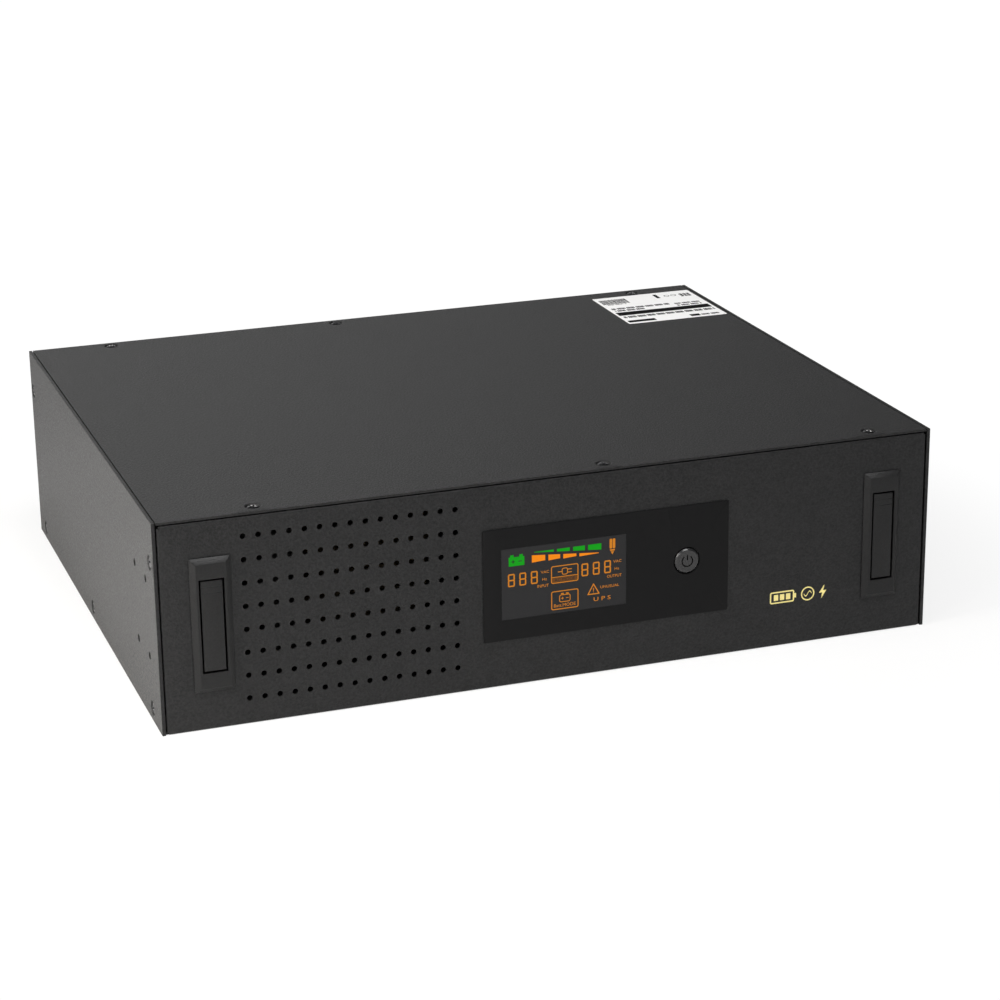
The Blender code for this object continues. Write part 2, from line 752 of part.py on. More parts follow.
def sleeve_size():
    """Outer width and height of the sleeve that holds a grip behind the front panel."""
    inner_width = GRIP_WIDTH + 2 * GRIP_CLEARANCE
    inner_height = GRIP_HEIGHT + 2 * (GRIP_CLEARANCE + GRIP_HOOK)
    return inner_width + 2 * SLEEVE_WALL, inner_height + 2 * SLEEVE_WALL


def build_handle(side, sign):
    """A bezel with its sleeve, and the U-shaped grip that pulls out of it along -Y."""
    centre = (sign * BEZEL_CENTRE_X, MIDDLE_Z)
    base = rectangle(centre, BEZEL_WIDTH, BEZEL_HEIGHT)
    face = rectangle(centre, BEZEL_WIDTH - 2 * BEZEL_BEVEL, BEZEL_HEIGHT - 2 * BEZEL_BEVEL)
    foot = FRONT - GAP
    bezel = make(
        f"{side}_handle_bezel",
        "black_plastic",
        loft("Y", [(foot, base), (foot - BEZEL_EDGE, base), (BEZEL_FRONT, face)]),
    )
    width, height = sleeve_size()
    fuse(bezel, prism("Y", rectangle(centre, width, height), foot - SHEET, SLEEVE_END))
    mouth = rectangle(centre, GRIP_WIDTH + 2 * GRIP_CLEARANCE, GRIP_HEIGHT + 2 * GRIP_CLEARANCE)
    cut(bezel, prism("Y", mouth, BEZEL_FRONT - SHEET, LIP_BACK + SHEET))
    cavity = rectangle(centre, width - 2 * SLEEVE_WALL, height - 2 * SLEEVE_WALL)
    cut(bezel, prism("Y", cavity, LIP_BACK, SLEEVE_CAVITY_END))

    bar_front = BEZEL_FRONT + GRIP_SUNK
    bar_back = bar_front + GRIP_BAR
    x0, x1 = centre[0] - GRIP_WIDTH / 2, centre[0] + GRIP_WIDTH / 2
    z0, z1 = MIDDLE_Z - GRIP_HEIGHT / 2, MIDDLE_Z + GRIP_HEIGHT / 2
    profile = [
        (bar_front, z0),
        (GRIP_END - GRIP_HOOK_LENGTH, z0),
        (GRIP_END - GRIP_HOOK_LENGTH, z0 - GRIP_HOOK),
        (GRIP_END, z0 - GRIP_HOOK),
        (GRIP_END, z0 + GRIP_LEG),
        (bar_back, z0 + GRIP_LEG),
        (bar_back, z1 - GRIP_LEG),
        (GRIP_END, z1 - GRIP_LEG),
        (GRIP_END, z1 + GRIP_HOOK),
        (GRIP_END - GRIP_HOOK_LENGTH, z1 + GRIP_HOOK),
        (GRIP_END - GRIP_HOOK_LENGTH, z1),
        (bar_front, z1),
    ]
    grip = make(f"{side}_handle_grip", "black_plastic", prism("X", profile, x0, x1))
    pivot_at(grip, (centre[0], bar_front, MIDDLE_Z))


def build_display():
    """Overlay film, LCD behind its window, and the board that carries the LCD and the push switch."""
    face = FRONT - GAP
    film = rectangle((OVERLAY_CENTRE_X, MIDDLE_Z), OVERLAY_WIDTH, OVERLAY_HEIGHT)
    overlay = make("display_overlay", "overlay", prism("Y", film, face - OVERLAY_THICKNESS, face))
    button_place = (BUTTON_CENTRE.x, BUTTON_CENTRE.z)
    cut(overlay, prism("Y", circle(button_place, BUTTON_HOLE_RADIUS, ROUND), face - SHEET, face + SHEET))

    window = (WINDOW_CENTRE_X, MIDDLE_Z)
    lcd_start = FRONT + SHEET + GAP
    lcd_width, lcd_height = WINDOW_WIDTH + 2 * LCD_RIM, WINDOW_HEIGHT + 2 * LCD_RIM
    lcd = make(
        "lcd_module",
        "lcd",
        prism("Y", rectangle(window, lcd_width, lcd_height), lcd_start, lcd_start + LCD_DEPTH),
    )
    fuse(
        lcd,
        prism("Y", rectangle(window, lcd_width - 2 * LCD_RIM, LCD_RIM), lcd_start + LCD_DEPTH / 2, LCD_END),
    )

    half_width = OVERLAY_WIDTH / 2 + BOARD_RIM_X
    half_height = OVERLAY_HEIGHT / 2 - BOARD_RIM_Z
    board_back = DISPLAY_BOARD_FRONT + BOARD_SHEET
    board = make(
        "display_board",
        "board",
        box(
            (OVERLAY_CENTRE_X - half_width, DISPLAY_BOARD_FRONT, MIDDLE_Z - half_height),
            (OVERLAY_CENTRE_X + half_width, board_back, MIDDLE_Z + half_height),
        ),
    )
    reach_x, reach_z = half_width - 2 * POST_RADIUS, half_height - 2 * POST_RADIUS
    posts = [
        prism(
            "Y",
            circle((OVERLAY_CENTRE_X + i * reach_x, MIDDLE_Z + j * reach_z), POST_RADIUS, SMALL_ROUND),
            lcd_start,
            DISPLAY_BOARD_FRONT + BOARD_SHEET / 2,
        )
        for i in (-1, 1)
        for j in (-1, 1)
    ]
    fuse(board, *posts)

    switch_back = DISPLAY_BOARD_FRONT - GAP
    switch_front = switch_back - SWITCH_DEPTH
    switch_face = rectangle(button_place, SWITCH_SIDE, SWITCH_SIDE)
    make("power_switch", "black_plastic", prism("Y", switch_face, switch_front, switch_back))
    return switch_front


def build_power_button(switch_front):
    """A cap that slides inwards, with a collar behind the panel and a stem that reaches the switch."""
    collar_front = FRONT + SHEET + GAP
    collar_back = collar_front + BUTTON_COLLAR_LENGTH
    face = FRONT - BUTTON_STANDS_OUT
    stem_end = switch_front - GAP - BUTTON_TRAVEL
    places = [
        (0, face),
        (BUTTON_RADIUS - BUTTON_BEVEL, face),
        (BUTTON_RADIUS, face + BUTTON_BEVEL),
        (BUTTON_RADIUS, collar_front),
        (BUTTON_HOLE_RADIUS + BUTTON_COLLAR, collar_front),
        (BUTTON_HOLE_RADIUS + BUTTON_COLLAR, collar_back),
        (BUTTON_STEM_RADIUS, collar_back),
        (BUTTON_STEM_RADIUS, stem_end),
        (0, stem_end),
    ]
    centre = Vector((BUTTON_CENTRE.x, 0, BUTTON_CENTRE.z))
    button = make("power_button", "black_plastic", turned((0, 1, 0), centre, places))
    pivot_at(smooth(button), (BUTTON_CENTRE.x, face, BUTTON_CENTRE.z))


def build_label():
    """The rating label, near the cover's back right corner."""
    x, y = CASE_WIDTH / 2 - LABEL_FROM_RIGHT, BACK - LABEL_FROM_BACK
    bottom = CASE_HEIGHT + GAP
    make(
        "rating_label",
        "label",
        prism("Z", rectangle((x, y), LABEL_WIDTH, LABEL_DEPTH), bottom, bottom + LABEL_THICKNESS),
    )


# Power: batteries and transformer

def build_batteries():
    """Four batteries with blade terminals, the strap over them and the bracket beside them."""
    terminal_x, terminal_y, terminal_z = TERMINAL_SIZE
    for number in range(BATTERY_COUNT):
        y0 = BATTERY_START + number * BATTERY_STEP
        battery = make(
            f"battery_{number + 1}",
            "battery_case",
            box((BATTERY_X, y0, FLOOR), (BATTERY_X + BATTERY_LENGTH, y0 + BATTERY_WIDTH, BATTERY_TOP)),
        )
        y_mid = y0 + BATTERY_WIDTH / 2
        tabs = [
            box(
                (x - terminal_x / 2, y_mid - terminal_y / 2, BATTERY_TOP - terminal_x),
                (x + terminal_x / 2, y_mid + terminal_y / 2, BATTERY_TOP + terminal_z),
            )
            for x in (BATTERY_X + TERMINAL_INSET, BATTERY_X + BATTERY_LENGTH - TERMINAL_INSET)
        ]
        fuse(battery, *tabs)

    inner = (BATTERY_START - GAP, BATTERY_END + GAP)
    under = BATTERY_TOP + GAP
    outline = [
        (inner[0] - SHEET - STRAP_FOOT, FLOOR),
        (inner[0], FLOOR),
        (inner[0], under),
        (inner[1], under),
        (inner[1], FLOOR),
        (inner[1] + SHEET + STRAP_FOOT, FLOOR),
        (inner[1] + SHEET + STRAP_FOOT, FLOOR + SHEET),
        (inner[1] + SHEET, FLOOR + SHEET),
        (inner[1] + SHEET, under + SHEET),
        (inner[0] - SHEET, under + SHEET),
        (inner[0] - SHEET, FLOOR + SHEET),
        (inner[0] - SHEET - STRAP_FOOT, FLOOR + SHEET),
    ]
    middle = BATTERY_X + BATTERY_LENGTH / 2
    make("battery_strap", "zinc", prism("X", outline, middle - STRAP_WIDTH / 2, middle + STRAP_WIDTH / 2))

    side = BATTERY_X - GAP
    bracket = [
        (side - BRACKET_FOOT, FLOOR),
        (side, FLOOR),
        (side, FLOOR + BRACKET_HEIGHT),
        (side - SHEET, FLOOR + BRACKET_HEIGHT),
        (side - SHEET, FLOOR + SHEET),
        (side - BRACKET_FOOT, FLOOR + SHEET),
    ]
    make("battery_bracket", "zinc", prism("Y", bracket, BATTERY_START, BATTERY_END))


def build_transformer():
    """A shell-type core with two windows, the coil on its middle limb, and the clamp over it."""
    x, y = TRANSFORMER_X, TRANSFORMER_Y
    top = CORE_BOTTOM + CORE_HEIGHT
    stack = prism("Z", rectangle((x, y), CORE_WIDTH, CORE_STACK), CORE_BOTTOM, top)
    core = make("transformer_core", "laminations", stack)
    window = (CORE_WIDTH - 4 * CORE_LIMB) / 2
    window_height = CORE_HEIGHT - 2 * CORE_LIMB
    reach = CORE_LIMB + window / 2
    middle_z = CORE_BOTTOM + CORE_HEIGHT / 2
    for sign in (-1, 1):
        opening = rectangle((x + sign * reach, middle_z), window, window_height)
        cut(core, prism("Y", opening, y - CORE_STACK, y + CORE_STACK))

    inner_x = 2 * (CORE_LIMB + COIL_CLEARANCE)
    inner_y = CORE_STACK + 2 * COIL_CLEARANCE
    outer_x, outer_y = inner_x + 2 * (window - 2 * COIL_CLEARANCE), inner_y + 2 * COIL_WALL
    z0 = CORE_BOTTOM + CORE_LIMB + COIL_CLEARANCE
    z1 = top - CORE_LIMB - COIL_CLEARANCE
    corner = COIL_WALL / 2
    outline = chamfered(rectangle((x, y), outer_x, outer_y), corner)
    coil = make("transformer_coil", "winding", prism("Z", outline, z0, z1))
    cut(coil, prism("Z", rectangle((x, y), inner_x, inner_y), z0 - SHEET, z1 + SHEET))

    inside = CORE_WIDTH / 2 + GAP
    outside = inside + CLAMP_SHEET
    foot = outside + CLAMP_FOOT
    under = top + GAP
    sheet_top = FLOOR + CLAMP_SHEET
    profile = [
        (x - foot, FLOOR),
        (x - inside, FLOOR),
        (x - inside, under),
        (x + inside, under),
        (x + inside, FLOOR),
        (x + foot, FLOOR),
        (x + foot, sheet_top),
        (x + outside, sheet_top),
        (x + outside, under + CLAMP_SHEET),
        (x - outside, under + CLAMP_SHEET),
        (x - outside, sheet_top),
        (x - foot, sheet_top),
    ]
    make("transformer_clamp", "zinc", prism("Y", profile, y - CLAMP_DEPTH / 2, y + CLAMP_DEPTH / 2))


# Electronics

def build_main_board():
    """Main board on four posts, with heat sinks, a capacitor and a relay standing on it."""
    x0, y0 = MAIN_BOARD_X, MAIN_BOARD_Y
    x1, y1 = x0 + MAIN_BOARD_LENGTH, y0 + MAIN_BOARD_DEPTH
    board = make("main_board", "board", box((x0, y0, MAIN_BOARD_HEIGHT), (x1, y1, MAIN_BOARD_TOP)))
    inset = 2 * POST_RADIUS
    posts = [
        prism("Z", circle((x, y), POST_RADIUS, SMALL_ROUND), FLOOR, MAIN_BOARD_HEIGHT + BOARD_SHEET / 2)
        for x in (x0 + inset, x1 - inset)
        for y in (y0 + inset, y1 - inset)
    ]
    fuse(board, *posts)

    stand = MAIN_BOARD_TOP + GAP
    row = y0 + SINK_FROM_BOARD_FRONT
    for number, from_left in enumerate(SINK_CENTRES_FROM_LEFT, 1):
        outline = sink_outline(-CASE_WIDTH / 2 + from_left, row)
        make(f"heat_sink_{number}", "aluminium", prism("Z", outline, stand, stand + SINK_HEIGHT))

    column = -CASE_WIDTH / 2 + SINK_CENTRES_FROM_LEFT[-1] + SINK_LENGTH / 2 + COLUMN_STEP
    profile = [
        (0, 0),
        (CAPACITOR_RADIUS, 0),
        (CAPACITOR_RADIUS, CAPACITOR_HEIGHT - CAPACITOR_EDGE),
        (CAPACITOR_RADIUS - CAPACITOR_EDGE, CAPACITOR_HEIGHT),
        (0, CAPACITOR_HEIGHT),
    ]
    smooth(make("capacitor", "capacitor", turned((0, 0, 1), (column, row, stand), profile)))
    relay = (column + COLUMN_STEP, y0 + RELAY_FROM_BOARD_FRONT)
    width, depth, height = RELAY_SIZE
    make("relay", "relay", prism("Z", rectangle(relay, width, depth), stand, stand + height))


def sink_outline(centre_x, centre_y):
    """A comb seen from above: a back wall along X with fins that stand forward from it."""
    left, right = centre_x - SINK_LENGTH / 2, centre_x + SINK_LENGTH / 2
    back = centre_y + SINK_DEPTH / 2
    wall, tip = back - SINK_BASE, centre_y - SINK_DEPTH / 2
    pitch = (SINK_LENGTH - SINK_FIN) / (SINK_FINS - 1)
    points = [(right, back), (left, back)]
    for i in range(SINK_FINS):
        x = left + i * pitch
        points += [(x, wall), (x, tip), (x + SINK_FIN, tip), (x + SINK_FIN, wall)]
    del points[2], points[-1]
    return points


# Fan

def fan_holes():
    """(x, z) of the fan's four mounting holes."""
    reach = FAN_HOLE_SPACING / 2
    return [(FAN_CENTRE.x + i * reach, FAN_CENTRE.z + j * reach) for i in (-1, 1) for j in (-1, 1)]


def build_fan():
    """A square frame with a motor base on four struts, the bladed rotor, and the wire guard outside."""
    centre = (FAN_CENTRE.x, FAN_CENTRE.z)
    back, front = FAN_CENTRE.y, FAN_CENTRE.y - FAN_DEPTH
    frame = make("fan_frame", "black_plastic", prism("Y", rectangle(centre, FAN_SIDE, FAN_SIDE), front, back))
    holes = [circle(centre, FAN_BORE_RADIUS, ROUND)]
    holes += [circle(place, FAN_HOLE_RADIUS, VENT_SIDES) for place in fan_holes()]
    cut(frame, *[prism("Y", outline, front - SHEET, back + SHEET) for outline in holes])
    base_front = back - MOTOR_BASE
    struts = moved(cross(FAN_BORE_RADIUS + STRUT_WIDTH / 4, STRUT_WIDTH), centre)
    fuse(frame, prism("Y", struts, base_front, back))
    fuse(frame, prism("Y", circle(centre, HUB_RADIUS, ROUND), base_front, back))
    bore = SHAFT_RADIUS + SHAFT_BORE_CLEARANCE
    cut(frame, prism("Y", circle(centre, bore, SMALL_ROUND), base_front - SHEET, back + SHEET))

    hub_back = base_front - HUB_CLEARANCE
    hub_front = front + HUB_CLEARANCE
    places = [
        (0, hub_front),
        (HUB_RADIUS - HUB_CLEARANCE, hub_front),
        (HUB_RADIUS, hub_front + HUB_CLEARANCE),
        (HUB_RADIUS, hub_back),
        (SHAFT_RADIUS, hub_back),
        (SHAFT_RADIUS, back - HUB_CLEARANCE),
        (0, back - HUB_CLEARANCE),
    ]
    axis_point = Vector((centre[0], 0, centre[1]))
    rotor = make("fan_rotor", "black_plastic", turned((0, 1, 0), axis_point, places))
    blade_middle = (hub_front + hub_back) / 2
    fuse(rotor, *[blade(centre, blade_middle, 2 * math.pi * i / FAN_BLADES) for i in range(FAN_BLADES)])
    pivot_at(rotor, (centre[0], blade_middle, centre[1]))

    half, outside = GUARD_WIRE / 2, BACK + PROUD
    wires = [
        hoop((0, 1, 0), axis_point, radius - half, radius + half, outside - GUARD_WIRE, outside)
        for radius in GUARD_RINGS
    ]
    guard = make("fan_guard", "chrome_wire", *wires)
    reach = FAN_HOLE_SPACING / math.sqrt(2) + GUARD_WIRE
    arms = moved(rotated(cross(reach, GUARD_WIRE), math.pi / 4), centre)
    fuse(guard, prism("Y", arms, BACK + GAP, outside - half))


def blade(centre, middle, angle):
    """A twisted blade: thin sections, each laid on the cylinder of its radius, steeper at the hub."""
    root, tip = HUB_RADIUS - FAN_BLADE_ROOT, FAN_BORE_RADIUS - FAN_TIP_CLEARANCE

    def section(radius, pitch):
        along = Vector((math.cos(pitch), math.sin(pitch)))
        normal = Vector((-math.sin(pitch), math.cos(pitch)))
        half, thick = FAN_BLADE_CHORD / 2, FAN_BLADE_THICKNESS / 2
        for i, j in ((-1, -1), (1, -1), (1, 1), (-1, 1)):
            offset = along * half * i + normal * thick * j
            turn = angle + offset.x / radius
            x, z = radius * math.cos(turn), radius * math.sin(turn)
            yield (centre[0] + x, middle + offset.y, centre[1] + z)

    def add(bm):
        loops = []
        for k in range(FAN_BLADE_STATIONS):
            share = k / (FAN_BLADE_STATIONS - 1)
            radius = root + (tip - root) * share
            pitch = math.radians(BLADE_PITCH_HUB + (BLADE_PITCH_TIP - BLADE_PITCH_HUB) * share)
            loops.append([bm.verts.new(point) for point in section(radius, pitch)])
        for near, far in zip(loops, loops[1:]):
            for i in range(4):
                j = (i + 1) % 4
                bm.faces.new((near[i], near[j], far[j], far[i]))
        bm.faces.new(loops[0][::-1])
        bm.faces.new(loops[-1])

    return add


# Connectors

def outlet_places():
    """(x, z) of the appliance outlets, lower row first."""
    return [(OUTLETS_X, ROW_LOW), (OUTLETS_X, ROW_HIGH)]


def flanged_connector(name, place, face_size):
    """A block that passes through the rear panel, with a face plate outside it."""
    start, end = BACK + GAP, BACK + GAP + CONNECTOR_FACE
    piece = make(name, "black_plastic", prism("Y", rectangle(place, *face_size), start, end))
    fuse(piece, prism("Y", rectangle(place, *OUTLET_BODY), REAR_INSIDE - OUTLET_DEPTH, (start + end) / 2))
    return piece


def build_sockets():
    """Round mains sockets: a square plate with a round well, two pin holes and two earth clips."""
    face = BACK + SOCKET_FACE
    for number, x in enumerate(SOCKET_CENTRES_X, 1):
        place = (x, MIDDLE_Z)
        plate = chamfered(rectangle(place, SOCKET_PLATE, SOCKET_PLATE), SOCKET_CORNER)
        socket = make(
            f"mains_socket_{number}",
            "black_plastic",
            prism("Y", plate, BACK + GAP, face),
        )
        body = circle(place, SOCKET_BODY_RADIUS, ROUND)
        fuse(socket, prism("Y", body, face - SOCKET_BODY_DEPTH, face - SOCKET_FACE / 2))
        floor = face - SOCKET_WELL_DEPTH
        cut(socket, prism("Y", circle(place, SOCKET_WELL_RADIUS, ROUND), floor, face + SHEET))
        pins = [
            prism(
                "Y",
                circle((x + sign * SOCKET_PIN_SPACING / 2, MIDDLE_Z), SOCKET_PIN_RADIUS, SMALL_ROUND),
                floor - SOCKET_PIN_DEPTH,
                floor + SHEET,
            )
            for sign in (-1, 1)
        ]
        cut(socket, *pins)
        clip_width, clip_rise, clip_length = SOCKET_CLIP
        clips = []
        for sign in (-1, 1):
            wall = MIDDLE_Z + sign * (SOCKET_WELL_RADIUS + SOCKET_CLIP_ROOT / 2)
            middle = (x, wall - sign * (clip_rise + SOCKET_CLIP_ROOT) / 2)
            clip = rectangle(middle, clip_width, clip_rise + SOCKET_CLIP_ROOT)
            clips.append(prism("Y", clip, floor - SHEET, floor + clip_length))
        fuse(socket, *clips)


def slot_places(place):
    """(x, z) of an appliance connector's two line contacts and its earth contact, above them."""
    x, z = place
    lines = [(x + sign * OUTLET_SLOT_SPREAD, z - LINE_SLOT_DROP) for sign in (-1, 1)]
    return lines + [(x, z + EARTH_SLOT_RISE)]


def build_outlets():
    """Appliance outlets: a keyed well round an island with three slots."""
    face = BACK + GAP + CONNECTOR_FACE
    for number, place in enumerate(outlet_places(), 1):
        outlet = flanged_connector(f"appliance_outlet_{number}", place, OUTLET_FACE)
        floor = face - OUTLET_WELL_DEPTH
        cut(outlet, prism("Y", keyed_rectangle(place, *OUTLET_WELL, OUTLET_KEY), floor, face + SHEET))
        island_top = face - SHEET
        island = keyed_rectangle(place, *OUTLET_ISLAND, ISLAND_KEY)
        fuse(outlet, prism("Y", island, floor - SHEET, island_top))
        slots = [
            prism("Y", rectangle(slot, *OUTLET_SLOT), island_top - OUTLET_WELL_DEPTH / 2, island_top + SHEET)
            for slot in slot_places(place)
        ]
        cut(outlet, *slots)


def build_inlet():
    """Mains inlet: a keyed well with three flat pins."""
    place = (INLET_X, ROW_LOW)
    face = BACK + GAP + CONNECTOR_FACE
    inlet = flanged_connector("mains_inlet", place, INLET_FACE)
    floor = face - OUTLET_WELL_DEPTH
    cut(inlet, prism("Y", keyed_rectangle(place, *OUTLET_WELL, OUTLET_KEY), floor, face + SHEET))
    pins = [
        prism("Y", rectangle(slot, *INLET_PIN), floor - SHEET, floor + INLET_PIN_LENGTH)
        for slot in slot_places(place)
    ]
    fuse(inlet, *pins)


def build_breaker():
    """Resettable breaker: a body with a threaded neck and nut, and the button that pops out along +Y."""
    place = (INLET_X, ROW_HIGH)
    axis_point = Vector((place[0], 0, place[1]))
    nut_front = BACK + GAP
    nut_back = nut_front + CONNECTOR_FACE
    body_face = REAR_INSIDE - GAP
    block = prism("Y", rectangle(place, *BREAKER_BODY), body_face - BREAKER_DEPTH, body_face)
    body = make("breaker_body", "black_plastic", block)
    neck = [
        (0, body_face - SHEET),
        (BREAKER_THREAD_RADIUS, body_face - SHEET),
        (BREAKER_THREAD_RADIUS, nut_front),
        (BREAKER_NUT_RADIUS, nut_front),
        (BREAKER_NUT_RADIUS, nut_back),
        (0, nut_back),
    ]
    fuse(body, turned((0, 1, 0), axis_point, neck))
    bore = circle(place, BREAKER_BUTTON_RADIUS + BREAKER_BUTTON_CLEARANCE, ROUND)
    button_face = nut_back - BREAKER_BUTTON_SUNK
    button_start = button_face - BREAKER_BUTTON_LENGTH
    cut(body, prism("Y", bore, button_start - BREAKER_BUTTON_CLEARANCE, nut_back + SHEET))
    profile = [
        (0, button_start),
        (BREAKER_BUTTON_RADIUS, button_start),
        (BREAKER_BUTTON_RADIUS, button_face - BREAKER_BUTTON_EDGE),
        (BREAKER_BUTTON_RADIUS - BREAKER_BUTTON_EDGE, button_face),
        (0, button_face),
    ]
    button = make("breaker_button", "white_plastic", turned((0, 1, 0), axis_point, profile))
    pivot_at(smooth(button), (place[0], button_face, place[1]))


def build_ports():
    """A USB port and a pair of phone or network jacks."""
    face = BACK + CONNECTOR_FACE
    usb = (PORTS_X, ROW_LOW)
    port = make("usb_port", "zinc", prism("Y", rectangle(usb, *USB_SIZE), face - USB_DEPTH, face))
    cut(port, prism("Y", keyed_rectangle(usb, *USB_OPENING, USB_KEY), face - USB_WELL_DEPTH, face + SHEET))
    pair = rectangle((PORTS_X, ROW_HIGH), *JACK_SIZE)
    jacks = make("line_jacks", "black_plastic", prism("Y", pair, face - JACK_DEPTH, face))
    for sign in (-1, 1):
        well = rectangle((PORTS_X + sign * JACK_SPREAD, ROW_HIGH), *JACK_OPENING)
        cut(jacks, prism("Y", well, face - JACK_WELL_DEPTH, face + SHEET))


# Leads

def lead(name, material, route):
    """A cable along a smooth curve through the route's points, as one capped tube."""
    curve = bpy.data.curves.new(name, "CURVE")
    curve.dimensions = "3D"
    curve.bevel_depth = LEAD_RADIUS
    curve.bevel_resolution = LEAD_BEVEL_RESOLUTION
    curve.use_fill_caps = True
    spline = curve.splines.new("POLY")
    points = smooth_route([Vector(p) for p in route], LEAD_STEPS)
    spline.points.add(len(points) - 1)
    for point, place in zip(spline.points, points):
        point.co = (*place, 1)
    made = add_object(name, curve)
    curve.materials.append(finish(material))
    return made


def smooth_route(points, steps):
    """Points on a Catmull-Rom curve through the given ones, with steps in each stretch."""
    padded = [2 * points[0] - points[1], *points, 2 * points[-1] - points[-2]]
    found = []
    for a, b, c, d in zip(padded, padded[1:], padded[2:], padded[3:]):
        slope, bend, twist = c - a, 2 * a - 5 * b + 4 * c - d, 3 * b - a - 3 * c + d
        for i in range(steps):
            t = i / steps
            found.append(0.5 * (2 * b + slope * t + bend * t**2 + twist * t**3))
    return found + [points[-1]]


def build_leads():
    """Two leads from the batteries' left terminals over to the main board."""
    low = MAIN_BOARD_TOP + GAP + LEAD_RADIUS
    high = BATTERY_TOP + TERMINAL_SIZE[2] + GAP + LEAD_RADIUS
    terminal_x = BATTERY_X + TERMINAL_INSET
    beside_x = BATTERY_X - 2 * LEAD_RISE
    board_x = MAIN_BOARD_X + MAIN_BOARD_LENGTH
    for colour, number in LEAD_BATTERIES:
        y = BATTERY_START + number * BATTERY_STEP + BATTERY_WIDTH / 2
        route = [
            (terminal_x, y, high),
            ((terminal_x + beside_x) / 2, y, high),
            (beside_x, y, high - LEAD_RISE),
            (beside_x - LEAD_RISE / 2, y, (high + low) / 2 + LEAD_RISE),
            (board_x - LEAD_RISE, y, low + LEAD_RISE),
            (board_x - 3 * LEAD_RISE, y, low),
        ]
        lead(f"battery_lead_{colour}", f"{colour}_insulation", route)


def main():
    """Builds the power supply from an empty scene."""
    for old in list(bpy.data.objects):
        bpy.data.objects.remove(old)
    build_base_pan()
    build_side_panels()
    build_top_cover()
    build_front_panel()
    build_rear_panel()
    build_screws()
    build_handle("left", -1)
    build_handle("right", 1)
    build_power_button(build_display())
    build_label()
    build_batteries()
    build_transformer()
    build_main_board()
    build_fan()
    build_sockets()
    build_outlets()
    build_inlet()
    build_breaker()
    build_ports()
    build_leads()


main()
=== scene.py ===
"""Looks for a rack-width uninterruptible power supply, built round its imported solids.

Metres, +Z up, the front faces -Y. Left and right are as seen by someone who faces the front.
Every piece takes its place from the solid that it stands for.
"""

import logging
import math
from collections.abc import Callable
from dataclasses import dataclass, field
from enum import Enum

import bmesh
import bpy
import numpy as np
from mathutils import Matrix, Vector


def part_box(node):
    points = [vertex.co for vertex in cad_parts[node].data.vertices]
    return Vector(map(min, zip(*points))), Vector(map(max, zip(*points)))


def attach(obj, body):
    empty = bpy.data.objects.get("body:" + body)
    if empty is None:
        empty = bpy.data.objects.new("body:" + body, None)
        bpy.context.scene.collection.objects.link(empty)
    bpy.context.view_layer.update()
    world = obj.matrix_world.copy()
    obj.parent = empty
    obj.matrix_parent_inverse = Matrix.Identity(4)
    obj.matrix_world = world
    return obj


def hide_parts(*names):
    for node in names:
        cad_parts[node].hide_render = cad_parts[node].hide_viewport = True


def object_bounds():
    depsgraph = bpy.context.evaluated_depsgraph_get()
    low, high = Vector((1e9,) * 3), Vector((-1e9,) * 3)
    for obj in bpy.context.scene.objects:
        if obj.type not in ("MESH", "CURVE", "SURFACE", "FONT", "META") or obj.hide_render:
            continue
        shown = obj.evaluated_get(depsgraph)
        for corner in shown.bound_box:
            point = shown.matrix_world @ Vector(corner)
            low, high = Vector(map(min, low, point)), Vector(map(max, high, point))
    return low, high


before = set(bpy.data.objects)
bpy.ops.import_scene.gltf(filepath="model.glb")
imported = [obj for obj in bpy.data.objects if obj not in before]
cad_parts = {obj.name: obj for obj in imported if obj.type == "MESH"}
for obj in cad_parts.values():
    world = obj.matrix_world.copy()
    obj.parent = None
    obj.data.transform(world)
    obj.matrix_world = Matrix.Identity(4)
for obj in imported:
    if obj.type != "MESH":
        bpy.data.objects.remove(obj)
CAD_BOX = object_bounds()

Array = np.ndarray
Pair = tuple[float, float]
Triple = tuple[float, float, float]
Profile = list[Pair]
Section = tuple[float, float, float, float]
Inputs = dict[str | int, object]
Block = Callable[[float, float, float, float], None]

LOG = logging.getLogger("power_supply")
BODY = "case"
MM = 0.001
WELD = 0.000002
SHARP = 38.0
HEM = 0.3 * MM


# Planes and outlines


@dataclass(frozen=True)
class Seat:
    """A plane to build on, with two directions in it and the one that stands out of it."""

    origin: Triple
    right: Triple
    up: Triple

    def place(self, across: Array, along: Array, out: Array | float) -> Array:
        """Puts plane coordinates into space: origin + across x right + along x up + out x (right x up).

        Args:
            across: Distances along the right direction.
            along: Distances along the up direction.
            out: Heights above the plane.

        Returns:
            The points, with x, y and z in the last axis.
        """
        normal = np.cross(self.right, self.up)
        steps = ((across, self.right), (along, self.up), (out, normal))
        return np.asarray(self.origin) + sum(
            np.asarray(step)[..., None] * np.asarray(way) for step, way in steps
        )

    def moved(self, across: float = 0.0, along: float = 0.0, out: float = 0.0) -> "Seat":
        """Returns the same plane with its origin shifted."""
        origin = self.place(np.float64(across), np.float64(along), out)
        return Seat(tuple(float(v) for v in origin), self.right, self.up)


def front_seat(x: float, y: float, z: float) -> Seat:
    """Returns a plane that faces the front, -Y."""
    return Seat((x, y, z), (1, 0, 0), (0, 0, 1))


def back_seat(x: float, y: float, z: float) -> Seat:
    """Returns a plane that faces the back, +Y."""
    return Seat((x, y, z), (-1, 0, 0), (0, 0, 1))


def top_seat(x: float, y: float, z: float) -> Seat:
    """Returns a plane that faces up, +Z."""
    return Seat((x, y, z), (1, 0, 0), (0, 1, 0))


def side_seat(sign: int, y: float, z: float) -> Seat:
    """Returns a plane that faces out of the left side, sign -1, or the right side, sign 1."""
    return Seat((sign * CAD_BOX[1][0], y, z), (0, sign, 0), (0, 0, 1))


